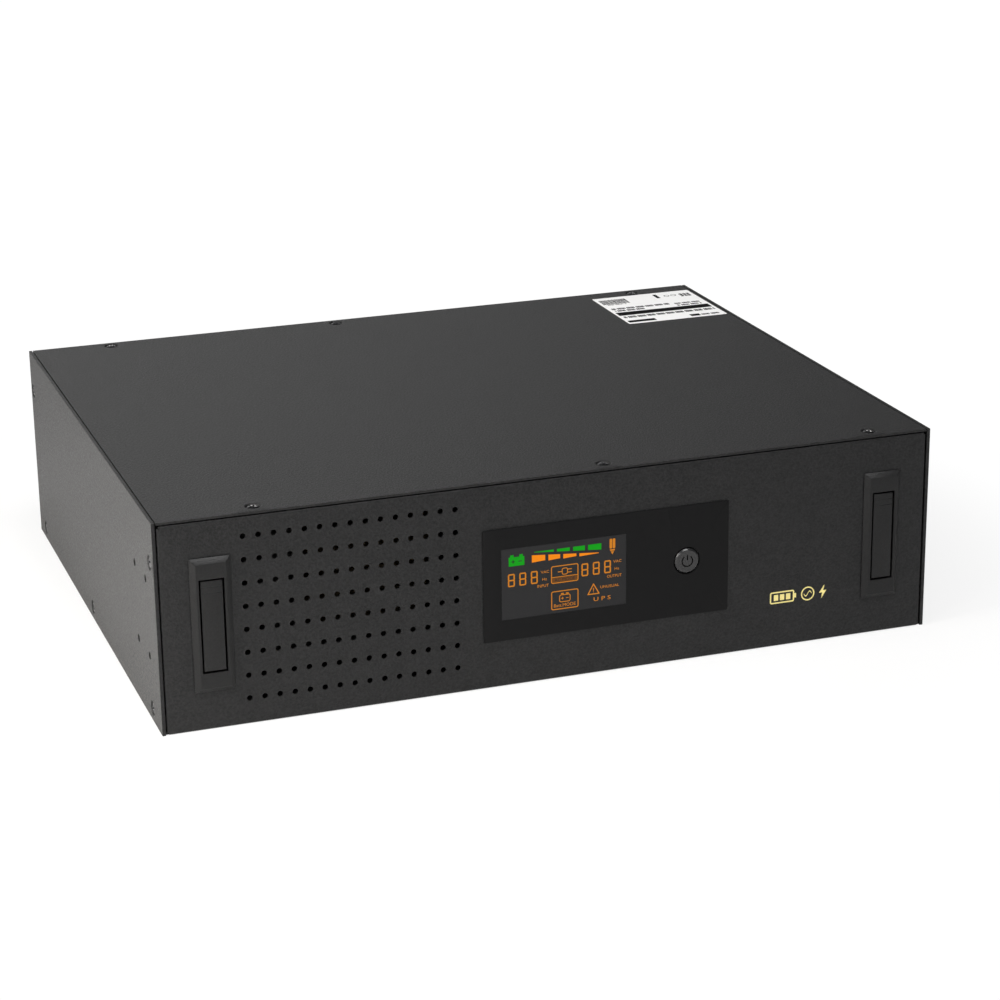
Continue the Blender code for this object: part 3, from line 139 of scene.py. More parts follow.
def circle(radius: float, count: int = 48, centre: Pair = (0.0, 0.0)) -> Array:
    """Returns a circle of points: centre + radius x (cos t, sin t), t even round a full turn."""
    turn = np.arange(count) * 2 * math.pi / count
    return np.stack([centre[0] + radius * np.cos(turn), centre[1] + radius * np.sin(turn)], axis=1)


def rounded_box(half: Pair, corner: float, steps: int = 6, centre: Pair = (0.0, 0.0)) -> Array:
    """Returns a rectangle with round corners, counter-clockwise.

    Each corner is a quarter turn of the corner radius about a centre that lies that radius inside
    both sides, from the lower right corner onwards.

    Args:
        half: Half the width and half the height.
        corner: The corners' radius.
        steps: Segments in each corner.
        centre: The rectangle's middle.

    Returns:
        The points, one row each.
    """
    turn = np.linspace(0, math.pi / 2, steps + 1) - math.pi / 2
    signs = np.array([(1, -1), (1, 1), (-1, 1), (-1, -1)])
    middles = signs * (np.asarray(half) - corner) + np.asarray(centre)
    quarter = (np.arange(4) * math.pi / 2)[:, None] + turn
    arcs = corner * np.stack([np.cos(quarter), np.sin(quarter)], axis=2)
    return (middles[:, None, :] + arcs).reshape(-1, 2)


def eased(share: Array) -> Array:
    """Returns the smooth step 3s^2 - 2s^3 of a share, held between 0 and 1."""
    share = np.clip(share, 0, 1)
    return share * share * (3 - 2 * share)


# Surfaces


class Surface:
    """Points and faces of one piece, gathered patch by patch and welded where they meet."""

    def __init__(self) -> None:
        """Starts with nothing in it."""
        self.points: list[Array] = []
        self.faces: list[list[int]] = []
        self.count = 0

    def patch(self, grid: Array, around: bool = False) -> "Surface":
        """Adds a grid of points, with a four-cornered face between each four neighbours.

        Args:
            grid: Points by row, column and coordinate, seen anticlockwise from outside.
            around: Whether the last column joins the first.

        Returns:
            This surface.
        """
        rows, columns = grid.shape[:2]
        index = np.arange(rows * columns).reshape(rows, columns) + self.count
        if around:
            index = np.concatenate([index, index[:, :1]], axis=1)
        corners = [index[:-1, :-1], index[:-1, 1:], index[1:, 1:], index[1:, :-1]]
        self.faces += np.stack(corners, axis=-1).reshape(-1, 4).tolist()
        self.points.append(grid.reshape(-1, 3))
        self.count += rows * columns
        return self

    def lid(self, loop: Array, flip: bool = False) -> "Surface":
        """Closes a loop of points with one flat face; flip turns it over."""
        index = (np.arange(len(loop)) + self.count).tolist()
        self.faces.append(index[::-1] if flip else index)
        self.points.append(loop)
        self.count += len(loop)
        return self

    def loft(self, seat: Seat, sections: list[tuple[Array, float]]) -> "Surface":
        """Adds a closed body through flat outlines at heights above a plane, with a lid at each end."""
        rows = [seat.place(loop[:, 0], loop[:, 1], out) for loop, out in sections]
        self.patch(np.stack(rows), around=True)
        return self.lid(rows[0], flip=True).lid(rows[-1])

    def turned(self, seat: Seat, profile: Profile, count: int = 48) -> "Surface":
        """Adds a turned body: at turn t, each profile pair (r, out) gives (r cos t, r sin t, out)."""
        radius, out = np.asarray(profile).T
        unit = circle(1.0, count)
        across = radius[:, None] * unit[:, 0]
        along = radius[:, None] * unit[:, 1]
        return self.patch(seat.place(across, along, np.broadcast_to(out[:, None], across.shape)), True)

    def plate(self, seat: Seat, outline: Array, low: float, high: float) -> "Surface":
        """Adds a flat plate of the outline between two heights above a plane."""
        return self.loft(seat, [(outline, low), (outline, high)])

    def merged(self, seat: Seat, flat: "Surface") -> "Surface":
        """Adds a surface that was made in plane coordinates, put into a plane."""
        points = np.concatenate(flat.points)
        self.points.append(seat.place(points[:, 0], points[:, 1], points[:, 2]))
        self.faces += [[corner + self.count for corner in face] for face in flat.faces]
        self.count += len(points)
        return self

    def mesh(self, name: str, closed: bool = True) -> bpy.types.Mesh:
        """Makes the mesh, welds its seams and poles, and turns closed bodies to face outwards."""
        mesh = bpy.data.meshes.new(name)
        mesh.from_pydata(np.concatenate(self.points).tolist(), [], self.faces)
        work = bmesh.new()
        work.from_mesh(mesh)
        bmesh.ops.remove_doubles(work, verts=work.verts, dist=WELD)
        if closed:
            bmesh.ops.recalc_face_normals(work, faces=work.faces)
        work.to_mesh(mesh)
        work.free()
        return mesh


# Finishes


class Pattern(Enum):
    """How a finish varies over its surface."""

    GRAIN = "grain"
    BRUSHED = "brushed"
    SPANGLE = "spangle"
    BANDS = "bands"
    TRACES = "traces"


def feed(tree: bpy.types.NodeTree, node: bpy.types.Node, inputs: Inputs) -> None:
    """Feeds a node's inputs, each with a socket to link from or a value to set."""
    for key, value in inputs.items():
        if isinstance(value, bpy.types.NodeSocket):
            tree.links.new(value, node.inputs[key])
        else:
            node.inputs[key].default_value = value


def fed(
    tree: bpy.types.NodeTree, kind: str, inputs: Inputs, output: str | int = 0, **values: object,
) -> bpy.types.NodeSocket:
    """Adds a node, sets its named properties, feeds its inputs and returns one of its outputs."""
    node = tree.nodes.new(kind)
    for name, value in values.items():
        setattr(node, name, value)
    feed(tree, node, inputs)
    return node.outputs[output]


def maths(
    tree: bpy.types.NodeTree, operation: str, *given: object, clamp: bool = False,
) -> bpy.types.NodeSocket:
    """Adds a maths node for sockets or numbers and returns its result."""
    return fed(tree, "ShaderNodeMath", dict(enumerate(given)), operation=operation, use_clamp=clamp)


def eased_range(
    tree: bpy.types.NodeTree, value: bpy.types.NodeSocket, source: Pair, result: Pair,
) -> bpy.types.NodeSocket:
    """Maps a value smoothly from one range to another and returns it."""
    names = ("From Min", "From Max", "To Min", "To Max")
    inputs = {"Value": value, **dict(zip(names, (*source, *result)))}
    return fed(tree, "ShaderNodeMapRange", inputs, "Result", interpolation_type="SMOOTHSTEP")


def texture_group(pattern: Pattern) -> bpy.types.NodeTree:
    """Returns the pattern's node group, made once: two mixed colours, a roughness and a height.

    The colours mix by the height and by a soft mottle twelve grains wide. The height is the pattern
    itself: fine noise, noise drawn out along X, cells, bands along Z, or ridged noise. The roughness
    follows the height about its middle value.

    Args:
        pattern: Which pattern the height takes.

    Returns:
        The group, with its sockets named.
    """
    name = f"finish_{pattern.value}"
    if name in bpy.data.node_groups:
        return bpy.data.node_groups[name]
    group = bpy.data.node_groups.new(name, "ShaderNodeTree")
    taken = {"Colour": "Color", "Accent": "Color", "Grain": "Float", "Middle": "Float", "Spread": "Float"}
    given = {"Colour": "Color", "Roughness": "Float", "Height": "Float"}
    for way, sockets in (("INPUT", taken), ("OUTPUT", given)):
        for label, kind in sockets.items():
            group.interface.new_socket(label, in_out=way, socket_type=f"NodeSocket{kind}")
    entry = group.nodes.new("NodeGroupInput").outputs
    place = fed(group, "ShaderNodeTexCoord", {}, "Object")
    scale = maths(group, "DIVIDE", 1.0, entry["Grain"])
    texture = {"Vector": place, "Scale": scale}
    if pattern is Pattern.BRUSHED:
        texture["Vector"] = fed(group, "ShaderNodeMapping", {"Vector": place, "Scale": (0.04, 1.0, 1.0)})
    if pattern is Pattern.SPANGLE:
        height = fed(group, "ShaderNodeRGBToBW", {0: fed(group, "ShaderNodeTexVoronoi", texture, "Color")})
    elif pattern is Pattern.BANDS:
        texture["Distortion"] = 0.4
        height = fed(group, "ShaderNodeTexWave", texture, "Fac", bands_direction="Z")
    else:
        texture.update(Detail=3.0, Roughness=0.6)
        height = fed(group, "ShaderNodeTexNoise", texture, "Fac")
    if pattern is Pattern.TRACES:
        ridge, steepness = 0.08, 12.0
        height = maths(group, "MULTIPLY", maths(group, "PINGPONG", height, ridge), steepness)

    mottle_grains, mottle_share, contrast, offset = 12, 0.3, 2.2, -0.75
    soft = maths(group, "MULTIPLY", scale, 1 / mottle_grains)
    mottle = fed(group, "ShaderNodeTexNoise", {"Vector": place, "Scale": soft}, "Fac")
    middle_share = maths(group, "MULTIPLY_ADD", mottle, mottle_share, offset)
    share = maths(group, "MULTIPLY_ADD", height, contrast, middle_share, clamp=True)
    colours = {"Factor": share, 6: entry["Colour"], 7: entry["Accent"]}
    blend = fed(group, "ShaderNodeMix", colours, 2, data_type="RGBA")
    centred = maths(group, "SUBTRACT", height, 0.5)
    rough = maths(group, "MULTIPLY_ADD", centred, entry["Spread"], entry["Middle"], clamp=True)
    feed(group, group.nodes.new("NodeGroupOutput"), {"Colour": blend, "Roughness": rough, "Height": height})
    return group


@dataclass(frozen=True)
class Finish:
    """One finish: what it is called, its colours, how it shines and how fine its texture is."""

    name: str
    slot: str
    colour: Triple
    accent: Triple
    roughness: float = 0.45
    spread: float = 0.2
    metallic: float = 0.0
    ior: float = 1.45
    grain: float = 0.4 * MM
    relief: float = 0.02 * MM
    pattern: Pattern = Pattern.GRAIN
    glow: float = 0.0

    def material(self) -> bpy.types.Material:
        """Returns the finish's material, made once."""
        if self.name in bpy.data.materials:
            return bpy.data.materials[self.name]
        made = bpy.data.materials.new(self.name)
        made.use_nodes = True
        tree = made.node_tree
        shader = tree.nodes["Principled BSDF"]
        texture = tree.nodes.new("ShaderNodeGroup")
        texture.node_tree = texture_group(self.pattern)
        colours = {"Colour": (*self.colour, 1.0), "Accent": (*self.accent, 1.0)}
        feed(tree, texture, {**colours, "Grain": self.grain, "Middle": self.roughness, "Spread": self.spread})
        colour, rough, height = texture.outputs
        normal = fed(tree, "ShaderNodeBump", {"Distance": self.relief, "Height": height})
        feed(tree, shader, {"Roughness": rough, "Normal": normal, "Metallic": self.metallic, "IOR": self.ior})
        if self.glow:
            dark = (0.01, 0.01, 0.01, 1.0)
            feed(tree, shader, {"Base Color": dark, "Emission Color": colour, "Emission Strength": self.glow})
        else:
            feed(tree, shader, {"Base Color": colour})
        return made


POWDER_COAT = Finish(
    "powder_coat_look", "powder_coat", (0.0050, 0.0050, 0.0053), (0.0205, 0.0205, 0.0210),
    roughness=0.42, spread=0.45, ior=1.31, grain=1.2 * MM, relief=0.34 * MM,
)
SCREW_BLACK = Finish(
    "blackened_screw", "screw_black", (0.080, 0.080, 0.084), (0.120, 0.120, 0.124),
    roughness=0.26, spread=0.2, metallic=1.0, grain=0.25 * MM, relief=0.004 * MM,
)
MOULDED_BLACK = Finish(
    "moulded_black", "black_plastic", (0.012, 0.012, 0.0125), (0.017, 0.017, 0.018),
    roughness=0.40, spread=0.2, ior=1.42, grain=0.25 * MM, relief=0.008 * MM,
)
HANDLE_BLACK = Finish(
    "handle_black", "black_plastic", (0.0045, 0.0045, 0.0047), (0.0100, 0.0100, 0.0103),
    roughness=0.36, spread=0.3, ior=1.34, grain=1.0 * MM, relief=0.16 * MM,
)
BUTTON_BLACK = Finish(
    "button_black", "black_plastic", (0.014, 0.014, 0.0145), (0.018, 0.018, 0.019),
    roughness=0.24, spread=0.1, ior=1.5, grain=0.25 * MM, relief=0.002 * MM,
)
# Near-black and almost unreflecting: painted shade for recesses that are not cut, the button's engraved mark
# and the socket sleeves' pin holes.
RECESS_SHADE_BLACK = Finish(
    "painted_recess_shade", "black_plastic", (0.002, 0.002, 0.002), (0.003, 0.003, 0.003),
    roughness=0.6, spread=0.1, ior=1.04, grain=0.2 * MM, relief=0.004 * MM,
)
OVERLAY_FILM = Finish(
    "overlay_film", "overlay", (0.0075, 0.0075, 0.0078), (0.0095, 0.0095, 0.0098),
    roughness=0.38, spread=0.1, ior=1.16, grain=0.25 * MM, relief=0.002 * MM,
)
LCD_WINDOW = Finish(
    "lcd_window", "lcd", (0.021, 0.021, 0.022), (0.025, 0.025, 0.026),
    roughness=0.22, spread=0.05, ior=1.18, grain=0.5 * MM, relief=0.0005 * MM,
)
LIT_ORANGE = Finish(
    "lit_orange", "lcd", (0.66, 0.225, 0.012), (0.60, 0.200, 0.010),
    roughness=0.5, ior=1.05, grain=0.5 * MM, relief=0.0, glow=0.95,
)
LIT_AMBER = Finish(
    "lit_amber", "lcd", (0.97, 0.27, 0.002), (0.92, 0.25, 0.002),
    roughness=0.5, ior=1.05, grain=0.5 * MM, relief=0.0, glow=0.95,
)
LIT_GREEN = Finish(
    "lit_green", "lcd", (0.0, 0.37, 0.004), (0.0, 0.32, 0.003),
    roughness=0.5, ior=1.05, grain=0.5 * MM, relief=0.0, glow=0.95,
)
LIT_DIM = Finish(
    "lit_dim", "lcd", (0.15, 0.055, 0.009), (0.13, 0.048, 0.008),
    roughness=0.5, ior=1.05, grain=0.5 * MM, relief=0.0, glow=0.95,
)
GOLD_FOIL = Finish(
    "gold_foil", "overlay", (0.80, 0.68, 0.24), (0.88, 0.76, 0.30),
    roughness=0.35, spread=0.1, ior=1.45, grain=0.3 * MM, relief=0.003 * MM,
)
PAPER = Finish(
    "label_paper", "label", (0.95, 0.95, 0.95), (0.97, 0.97, 0.97),
    roughness=0.50, spread=0.1, grain=0.3 * MM, relief=0.003 * MM,
)
PRINT_BLACK = Finish(
    "label_ink", "label", (0.004, 0.004, 0.004), (0.007, 0.007, 0.007),
    roughness=0.6, spread=0.1, ior=1.08, grain=0.3 * MM, relief=0.001 * MM,
)
ZINC = Finish(
    "zinc_plate", "zinc", (0.48, 0.48, 0.47), (0.60, 0.60, 0.58),
    roughness=0.36, spread=0.15, metallic=1.0, grain=3.0 * MM, relief=0.004 * MM, pattern=Pattern.SPANGLE,
)
CONTACT_METAL = Finish(
    "contact_metal", "zinc", (0.55, 0.54, 0.50), (0.66, 0.65, 0.60),
    roughness=0.25, spread=0.15, metallic=1.0, grain=0.5 * MM, relief=0.003 * MM, pattern=Pattern.BRUSHED,
)
BATTERY_CASE = Finish(
    "battery_case_look", "battery_case", (0.045, 0.048, 0.052), (0.060, 0.064, 0.070),
    roughness=0.5, grain=0.8 * MM, relief=0.02 * MM,
)
LAMINATIONS = Finish(
    "steel_laminations", "laminations", (0.040, 0.038, 0.036), (0.075, 0.072, 0.070),
    roughness=0.45, metallic=0.8, grain=1.6 * MM, relief=0.05 * MM, pattern=Pattern.BANDS,
)
WINDING = Finish(
    "winding_tape", "winding", (0.060, 0.040, 0.014), (0.095, 0.065, 0.024),
    roughness=0.45, grain=3.0 * MM, relief=0.1 * MM, pattern=Pattern.BANDS,
)
CIRCUIT_BOARD = Finish(
    "circuit_board", "board", (0.010, 0.090, 0.035), (0.030, 0.160, 0.070),
    roughness=0.4, grain=2.0 * MM, relief=0.02 * MM, pattern=Pattern.TRACES,
)
ALUMINIUM = Finish(
    "drawn_aluminium", "aluminium", (0.55, 0.55, 0.57), (0.66, 0.66, 0.68),
    roughness=0.36, metallic=1.0, grain=0.8 * MM, relief=0.01 * MM, pattern=Pattern.BRUSHED,
)
CAPACITOR_SLEEVE = Finish(
    "capacitor_sleeve", "capacitor", (0.020, 0.028, 0.075), (0.028, 0.038, 0.095),
    roughness=0.3, grain=0.5 * MM, relief=0.003 * MM,
)
RELAY_CASE = Finish(
    "relay_case", "relay", (0.035, 0.080, 0.24), (0.045, 0.095, 0.27),
    roughness=0.35, grain=0.5 * MM, relief=0.005 * MM,
)
PLATED_WIRE = Finish(
    "plated_wire", "chrome_wire", (0.55, 0.55, 0.55), (0.66, 0.66, 0.66),
    roughness=0.18, spread=0.1, metallic=1.0, grain=0.6 * MM, relief=0.003 * MM,
)
WHITE_PLASTIC = Finish(
    "white_plastic_look", "white_plastic", (0.68, 0.68, 0.66), (0.75, 0.75, 0.73),
    roughness=0.35, spread=0.1, grain=0.3 * MM, relief=0.003 * MM,
)
RED_SLEEVE = Finish(
    "red_sleeve", "red_insulation", (0.38, 0.015, 0.012), (0.48, 0.022, 0.018),
    roughness=0.4, grain=0.6 * MM, relief=0.004 * MM,
)
BLACK_SLEEVE = Finish(
    "black_sleeve", "black_insulation", (0.014, 0.014, 0.014), (0.022, 0.022, 0.022),
    roughness=0.4, grain=0.6 * MM, relief=0.004 * MM,
)


# Pieces


@dataclass(frozen=True)
class Rounding:
    """How a piece's sharp edges are rounded."""

    width: float
    segments: int = 2
    angle: float = 40.0


def settle(obj: bpy.types.Object) -> None:
    """Keeps what a piece's modifiers make as its mesh, and shades it smooth up to its sharp edges."""
    bpy.context.view_layer.update()
    graph = bpy.context.evaluated_depsgraph_get()
    before = obj.data
    obj.data = bpy.data.meshes.new_from_object(obj.evaluated_get(graph))
    obj.modifiers.clear()
    obj.data.name = before.name
    bpy.data.meshes.remove(before)
    obj.data.shade_smooth()
    obj.data.set_sharp_from_angle(angle=math.radians(SHARP))


def finished(
    name: str,
    shape: Surface | bpy.types.Mesh,
    finish: Finish,
    body: str = BODY,
    stands_for: tuple[str, ...] = (),
    sheet: float = 0.0,
    rounding: Rounding | None = None,
) -> bpy.types.Object:
    """Makes a piece: thickens and rounds its shape, gives it its finish and joins it to its body.

    Args:
        name: The piece's name.
        shape: Its surface, in place, open where sheet is more than 0; or its mesh.
        finish: The finish of its whole surface.
        body: The CAD body that it moves with.
        stands_for: The CAD nodes that it is shown for.
        sheet: The thickness that an open sheet gets on its inner side.
        rounding: How its edges are rounded.

    Returns:
        The piece.
    """
    mesh = shape.mesh(name, closed=not sheet) if isinstance(shape, Surface) else shape
    obj = bpy.data.objects.new(name, mesh)
    bpy.context.scene.collection.objects.link(obj)
    if sheet:
        wall = obj.modifiers.new("sheet", "SOLIDIFY")
        wall.thickness = sheet
        wall.offset = -1.0
    if rounding:
        edge = obj.modifiers.new("edges", "BEVEL")
        edge.width = rounding.width
        edge.segments = rounding.segments
        edge.limit_method = "ANGLE"
        edge.angle_limit = math.radians(rounding.angle)
        edge.harden_normals = False
    settle(obj)
    obj.data.materials.clear()
    obj.data.materials.append(finish.material())
    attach(obj, body)
    if stands_for:
        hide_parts(*stands_for)
    LOG.info("%s: %d faces on %s", name, len(obj.data.polygons), body)
    return obj


def dress(node: str, finish: Finish) -> None:
    """Gives a kept CAD node its finish."""
    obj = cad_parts[node]
    for slot in obj.material_slots:
        slot.material = finish.material()
    LOG.info("%s: kept, %s", node, finish.name)


def softened(node: str, finish: Finish, width: float, body: str = BODY) -> bpy.types.Object:
    """Shows a CAD node as a welded copy of its own mesh with rounded edges."""
    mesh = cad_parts[node].data.copy()
    work = bmesh.new()
    work.from_mesh(mesh)
    bmesh.ops.remove_doubles(work, verts=work.verts, dist=WELD)
    bmesh.ops.dissolve_limit(work, angle_limit=math.radians(1.0), verts=work.verts, edges=work.edges)
    work.to_mesh(mesh)
    work.free()
    for face_layer in list(mesh.attributes):
        if face_layer.name == "custom_normal":
            mesh.attributes.remove(face_layer)
    return finished(f"{node}_moulding", mesh, finish, body, (node,), rounding=Rounding(width))


def corners(node: str) -> tuple[Array, Array]:
    """Returns the lowest and the highest corner of a CAD node's box."""
    low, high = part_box(node)
    return np.asarray(low), np.asarray(high)


def middle(node: str) -> Array:
    """Returns the middle of a CAD node's box."""
    low, high = corners(node)
    return (low + high) / 2


# Sheets with holes in them


class Rim(Enum):
    """The outline of a hole."""

    ROUND = "round"
    SQUARE = "square"


@dataclass(frozen=True)
class Opening:
    """A hole in a sheet, with a dish pressed into the sheet round it where dish is more than 0."""

    at: Pair
    half: Pair
    rim: Rim = Rim.ROUND
    dish: float = 0.0
    depth: float = 0.0

    def loop(self, counts: list[int], half: Pair) -> Array:
        """Returns the outline in four sides, from the lower left corner, anticlockwise.

        A round side is the quarter turn from -135 degrees onwards, a square one the straight line
        between two corners.

        Args:
            counts: The number of segments in each side.
            half: Half the outline's width and height.

        Returns:
            The points, one row each.
        """
        sides = []
        square = np.array([(-1, -1), (1, -1), (1, 1), (-1, 1), (-1, -1)])
        for side, count in enumerate(counts):
            share = np.arange(count)[:, None] / count
            if self.rim is Rim.ROUND:
                turn = (side + share - 1.5) * math.pi / 2
                sides.append(np.concatenate([np.cos(turn), np.sin(turn)], axis=1))
            else:
                sides.append(square[side] + (square[side + 1] - square[side]) * share)
        return np.concatenate(sides) * np.asarray(half) + np.asarray(self.at)

    def rings(self, counts: list[int]) -> list[tuple[Array, float]]:
        """Returns the outlines and their heights, from a hem round the dish or the hole inwards."""
        rim = (self.dish, self.dish) if self.dish else self.half
        found = [(self.loop(counts, tuple(half + HEM for half in rim)), 0.0)]
        if not self.dish:
            return found + [(self.loop(counts, self.half), 0.0)]
        shares = np.linspace(0, 1, 12)
        for share, fall in zip(shares, eased(shares * 2.2)):
            half = tuple(self.dish + (inner - self.dish) * share for inner in self.half)
            found.append((self.loop(counts, half), -self.depth * float(fall)))
        return found


@dataclass(frozen=True)
class Strip:
    """Part of a sheet from one side to the other: samples across it, and its cells from low to high."""

    across: Array
    cells: list[tuple[float, float, Opening | None]]


@dataclass(frozen=True)
class Fold:
    """Flanges bent back on the edges of a face of half width and half height."""

    half: Pair
    radius: float
    flange: float

    def reach(self, side: int) -> float:
        """Returns how far the flat pattern reaches from its middle, flange and all."""
        return self.half[side] - 2 * self.radius + math.pi / 2 * self.radius + self.flange

    def samples(self, side: int) -> Array:
        """Returns places along one flange of the flat pattern, from the face to its end."""
        start = self.half[side] - self.radius
        arc = start + np.linspace(0, math.pi / 2 * self.radius, 6)
        return np.append(arc, self.reach(side))

    def bent(self, place: Array, side: int) -> tuple[Array, Array]:
        """Bends the flat pattern: straight over the face, a quarter turn, then straight back.

        With d the distance past the start of the bend and r its radius, the turn is d / r up to 90
        degrees, the place is start + r sin(turn) and the depth is r (1 - cos(turn)) plus what is
        left of d.

        Args:
            place: Distances from the middle of the pattern.
            side: 0 across the face, 1 along it.

        Returns:
            The places after the bend and the depths behind the face.
        """
        start = self.half[side] - self.radius
        past = np.clip(np.abs(place) - start, 0, None)
        turn = np.minimum(past / self.radius, math.pi / 2)
        rest = np.clip(past - math.pi / 2 * self.radius, 0, None)
        bent = np.where(past > 0, np.sign(place) * (start + self.radius * np.sin(turn)), place)
        return bent, self.radius * (1 - np.cos(turn)) + rest


def pierced(seat: Seat, strips: list[Strip], along: Array, fold: Fold | None = None) -> Surface:
    """Returns an open sheet made of strips of cells, each plain or with one hole.

    A plain cell is the grid of its samples. A cell with a hole is rings: its outer ring is the
    cell's edge and each further ring follows the hole's outline.

    Args:
        seat: The plane of the sheet's outer face.
        strips: The strips, side by side.
        along: All samples along the strips, which holds every cell's ends.
        fold: How the edges are bent back, if they are.

    Returns:
        The sheet, facing out of the plane.
    """
    surface = Surface()

    def add(across: Array, height: Array, out: Array, around: bool) -> None:
        """Adds a grid of the flat pattern, bent where the sheet is."""
        if fold:
            across, back_a = fold.bent(across, 0)
            height, back_b = fold.bent(height, 1)
            out = out - back_a - back_b
        surface.patch(seat.place(across, height, out), around)

    for strip in strips:
        for low, high, opening in strip.cells:
            inside = along[(along > low - WELD) & (along < high + WELD)]
            us, vs = strip.across, inside
            if opening is None:
                a, b = np.meshgrid(us, vs)
                add(a, b, np.zeros_like(a), False)
                continue
            corner_low, corner_high = np.full(len(vs) - 1, us[0]), np.full(len(vs) - 1, us[-1])
            flat_low, flat_high = np.full(len(us) - 1, vs[0]), np.full(len(us) - 1, vs[-1])
            edge = np.stack(
                [
                    np.concatenate([us[:-1], corner_high, us[:0:-1], corner_low]),
                    np.concatenate([flat_low, vs[:-1], flat_high, vs[:0:-1]]),
                ],
                axis=1,
            )
            counts = [len(us) - 1, len(vs) - 1] * 2
            rings = [(edge, 0.0)] + opening.rings(counts)
            loops = np.stack([loop for loop, _ in rings])
            heights = np.array([out for _, out in rings])[:, None]
            add(loops[..., 0], loops[..., 1], np.broadcast_to(heights, loops.shape[:2]), True)
    return surface


def divided(places: list[float], counts: list[int] | int) -> Array:
    """Returns places with each stretch between two of them divided evenly."""
    if isinstance(counts, int):
        counts = [counts] * (len(places) - 1)
    parts = [
        np.linspace(start, end, count, endpoint=False)
        for start, end, count in zip(places, places[1:], counts)
    ]
    return np.append(np.concatenate(parts), places[-1])


def hemmed(places: Array, first: bool = True, last: bool = True) -> Array:
    """Returns places with one more a hem's width inside the first end, the last end or both."""
    if first:
        places = np.insert(places, 1, places[0] + HEM)
    if last:
        places = np.insert(places, -1, places[-1] - HEM)
    return places


# Profiles carried round an outline


def eased_corners(rows: Array, radius: float, steps: int = 3, closed: bool = False) -> Array:
    """Rounds the corners of a line through any number of coordinates.

    Each corner P becomes the curve (1-t)^2 A + 2t(1-t) P + t^2 B, where A and B lie the radius, or
    at most 45% of the stretch, before and after it.

    Args:
        rows: The line's points, one row each.
        radius: How far from a corner its curve starts.
        steps: Segments in each curve.
        closed: Whether the last point joins the first.

    Returns:
        The rounded line.
    """
    before = np.roll(rows, 1, axis=0) - rows
    after = np.roll(rows, -1, axis=0) - rows
    t = np.linspace(0, 1, steps + 1)[:, None]
    curves = []
    for corner, back, ahead in zip(rows, before, after):
        ends = []
        for way in (back, ahead):
            length = float(np.linalg.norm(way))
            ends.append(corner + way * min(radius / max(length, WELD), 0.45))
        curves.append((1 - t) ** 2 * ends[0] + 2 * t * (1 - t) * corner + t**2 * ends[1])
    if not closed:
        curves[0], curves[-1] = rows[:1], rows[-1:]
    return np.concatenate(curves)


def carried(seat: Seat, rows: list[Section], radius: float, steps: int = 8) -> Surface:
    """Returns a closed body whose every section is a rounded rectangle.

    Each row is (half width, half height, corner radius, out); a circle has its radius for all three.
    The rows' own corners are rounded first, and the row at each end is a pole on the axis.

    Args:
        seat: The plane that the heights stand on, with the axis through its origin.
        rows: The sections, from one pole to the other.
        radius: The rounding between one row and the next.
        steps: Segments in each corner of a section.

    Returns:
        The body.
    """
    eased_rows = eased_corners(np.asarray(rows), radius)
    loops = np.stack([rounded_box((a, b), min(c, a, b), steps) for a, b, c, _ in eased_rows])
    out = np.broadcast_to(eased_rows[:, 3:], loops.shape[:2])
    return Surface().patch(seat.place(loops[..., 0], loops[..., 1], out), around=True)


def band(surface: Surface, seat: Seat, outer: Array, inner: Array, low: float, high: float) -> None:
    """Adds a flat closed ring between two outlines with as many points as each other."""
    rows = [(outer, low), (outer, high), (inner, high), (inner, low), (outer, low)]
    grid = np.stack([seat.place(loop[:, 0], loop[:, 1], out) for loop, out in rows])
    surface.patch(grid, around=True)


def tube(surface: Surface, path: Array, radius: float, count: int = 12, closed: bool = False) -> None:
    """Adds a round wire along a path: path + radius (cos t n + sin t b), n and b square to the path.

    Args:
        surface: What the wire is added to.
        path: The path's points, one row each, all in a plane square to Y.
        radius: The wire's radius.
        count: Points round the wire.
        closed: Whether the path is a loop.
    """
    if closed:
        along = np.roll(path, -1, axis=0) - np.roll(path, 1, axis=0)
    else:
        along = np.gradient(path, axis=0)
    along /= np.linalg.norm(along, axis=1)[:, None]
    side = np.cross(along, (0, 1, 0))
    unit = circle(1.0, count)
    grid = (
        path[:, None, :]
        + radius * unit[None, :, :1] * side[:, None, :]
        + radius * unit[None, :, 1:] * np.array([0, 1, 0])
    )
    if closed:
        surface.patch(np.concatenate([grid, grid[:1]]), around=True)
    else:
        surface.patch(grid, around=True).lid(grid[0], flip=True).lid(grid[-1])


def screw_head(surface: Surface, seat: Seat, radius: float, crown: float, turn: float) -> None:
    """Adds a domed screw head with a cross recess.

    Over the head the height is crown (1 - (r / R)^2) less the recess, whose depth is held by two
    smooth steps: one across an arm and one at its end. Under its rim the head tapers to a pole.

    Args:
        surface: What the head is added to.
        seat: The plane of the head's rim.
        radius: The head's radius R.
        crown: How far the middle stands above the rim.
        turn: The cross's angle.
    """
    arm, width, soft, deep = 0.58 * radius, 0.30 * radius, 0.10 * radius, 0.42 * radius
    unit = circle(1.0, 64)
    r = radius * np.linspace(1, 0, 18)[:, None]
    x, y = r * unit[:, 0], r * unit[:, 1]
    u = np.abs(x * math.cos(turn) + y * math.sin(turn))
    v = np.abs(y * math.cos(turn) - x * math.sin(turn))
    across = eased((width / 2 - np.minimum(u, v)) / soft + 0.5)
    ends = eased((arm - np.maximum(u, v)) / soft + 0.5)
    height = crown * (1 - (r / radius) ** 2) - deep * across * ends
    under = np.array([[0.0, -0.45], [0.55, -0.45], [0.97, -0.12]]) * radius
    x = np.concatenate([under[:, :1] * unit[:, 0], x])
    y = np.concatenate([under[:, :1] * unit[:, 1], y])
    height = np.concatenate([np.broadcast_to(under[:, 1:], (3, 64)), height])
    surface.patch(seat.place(x, y, height), around=True)


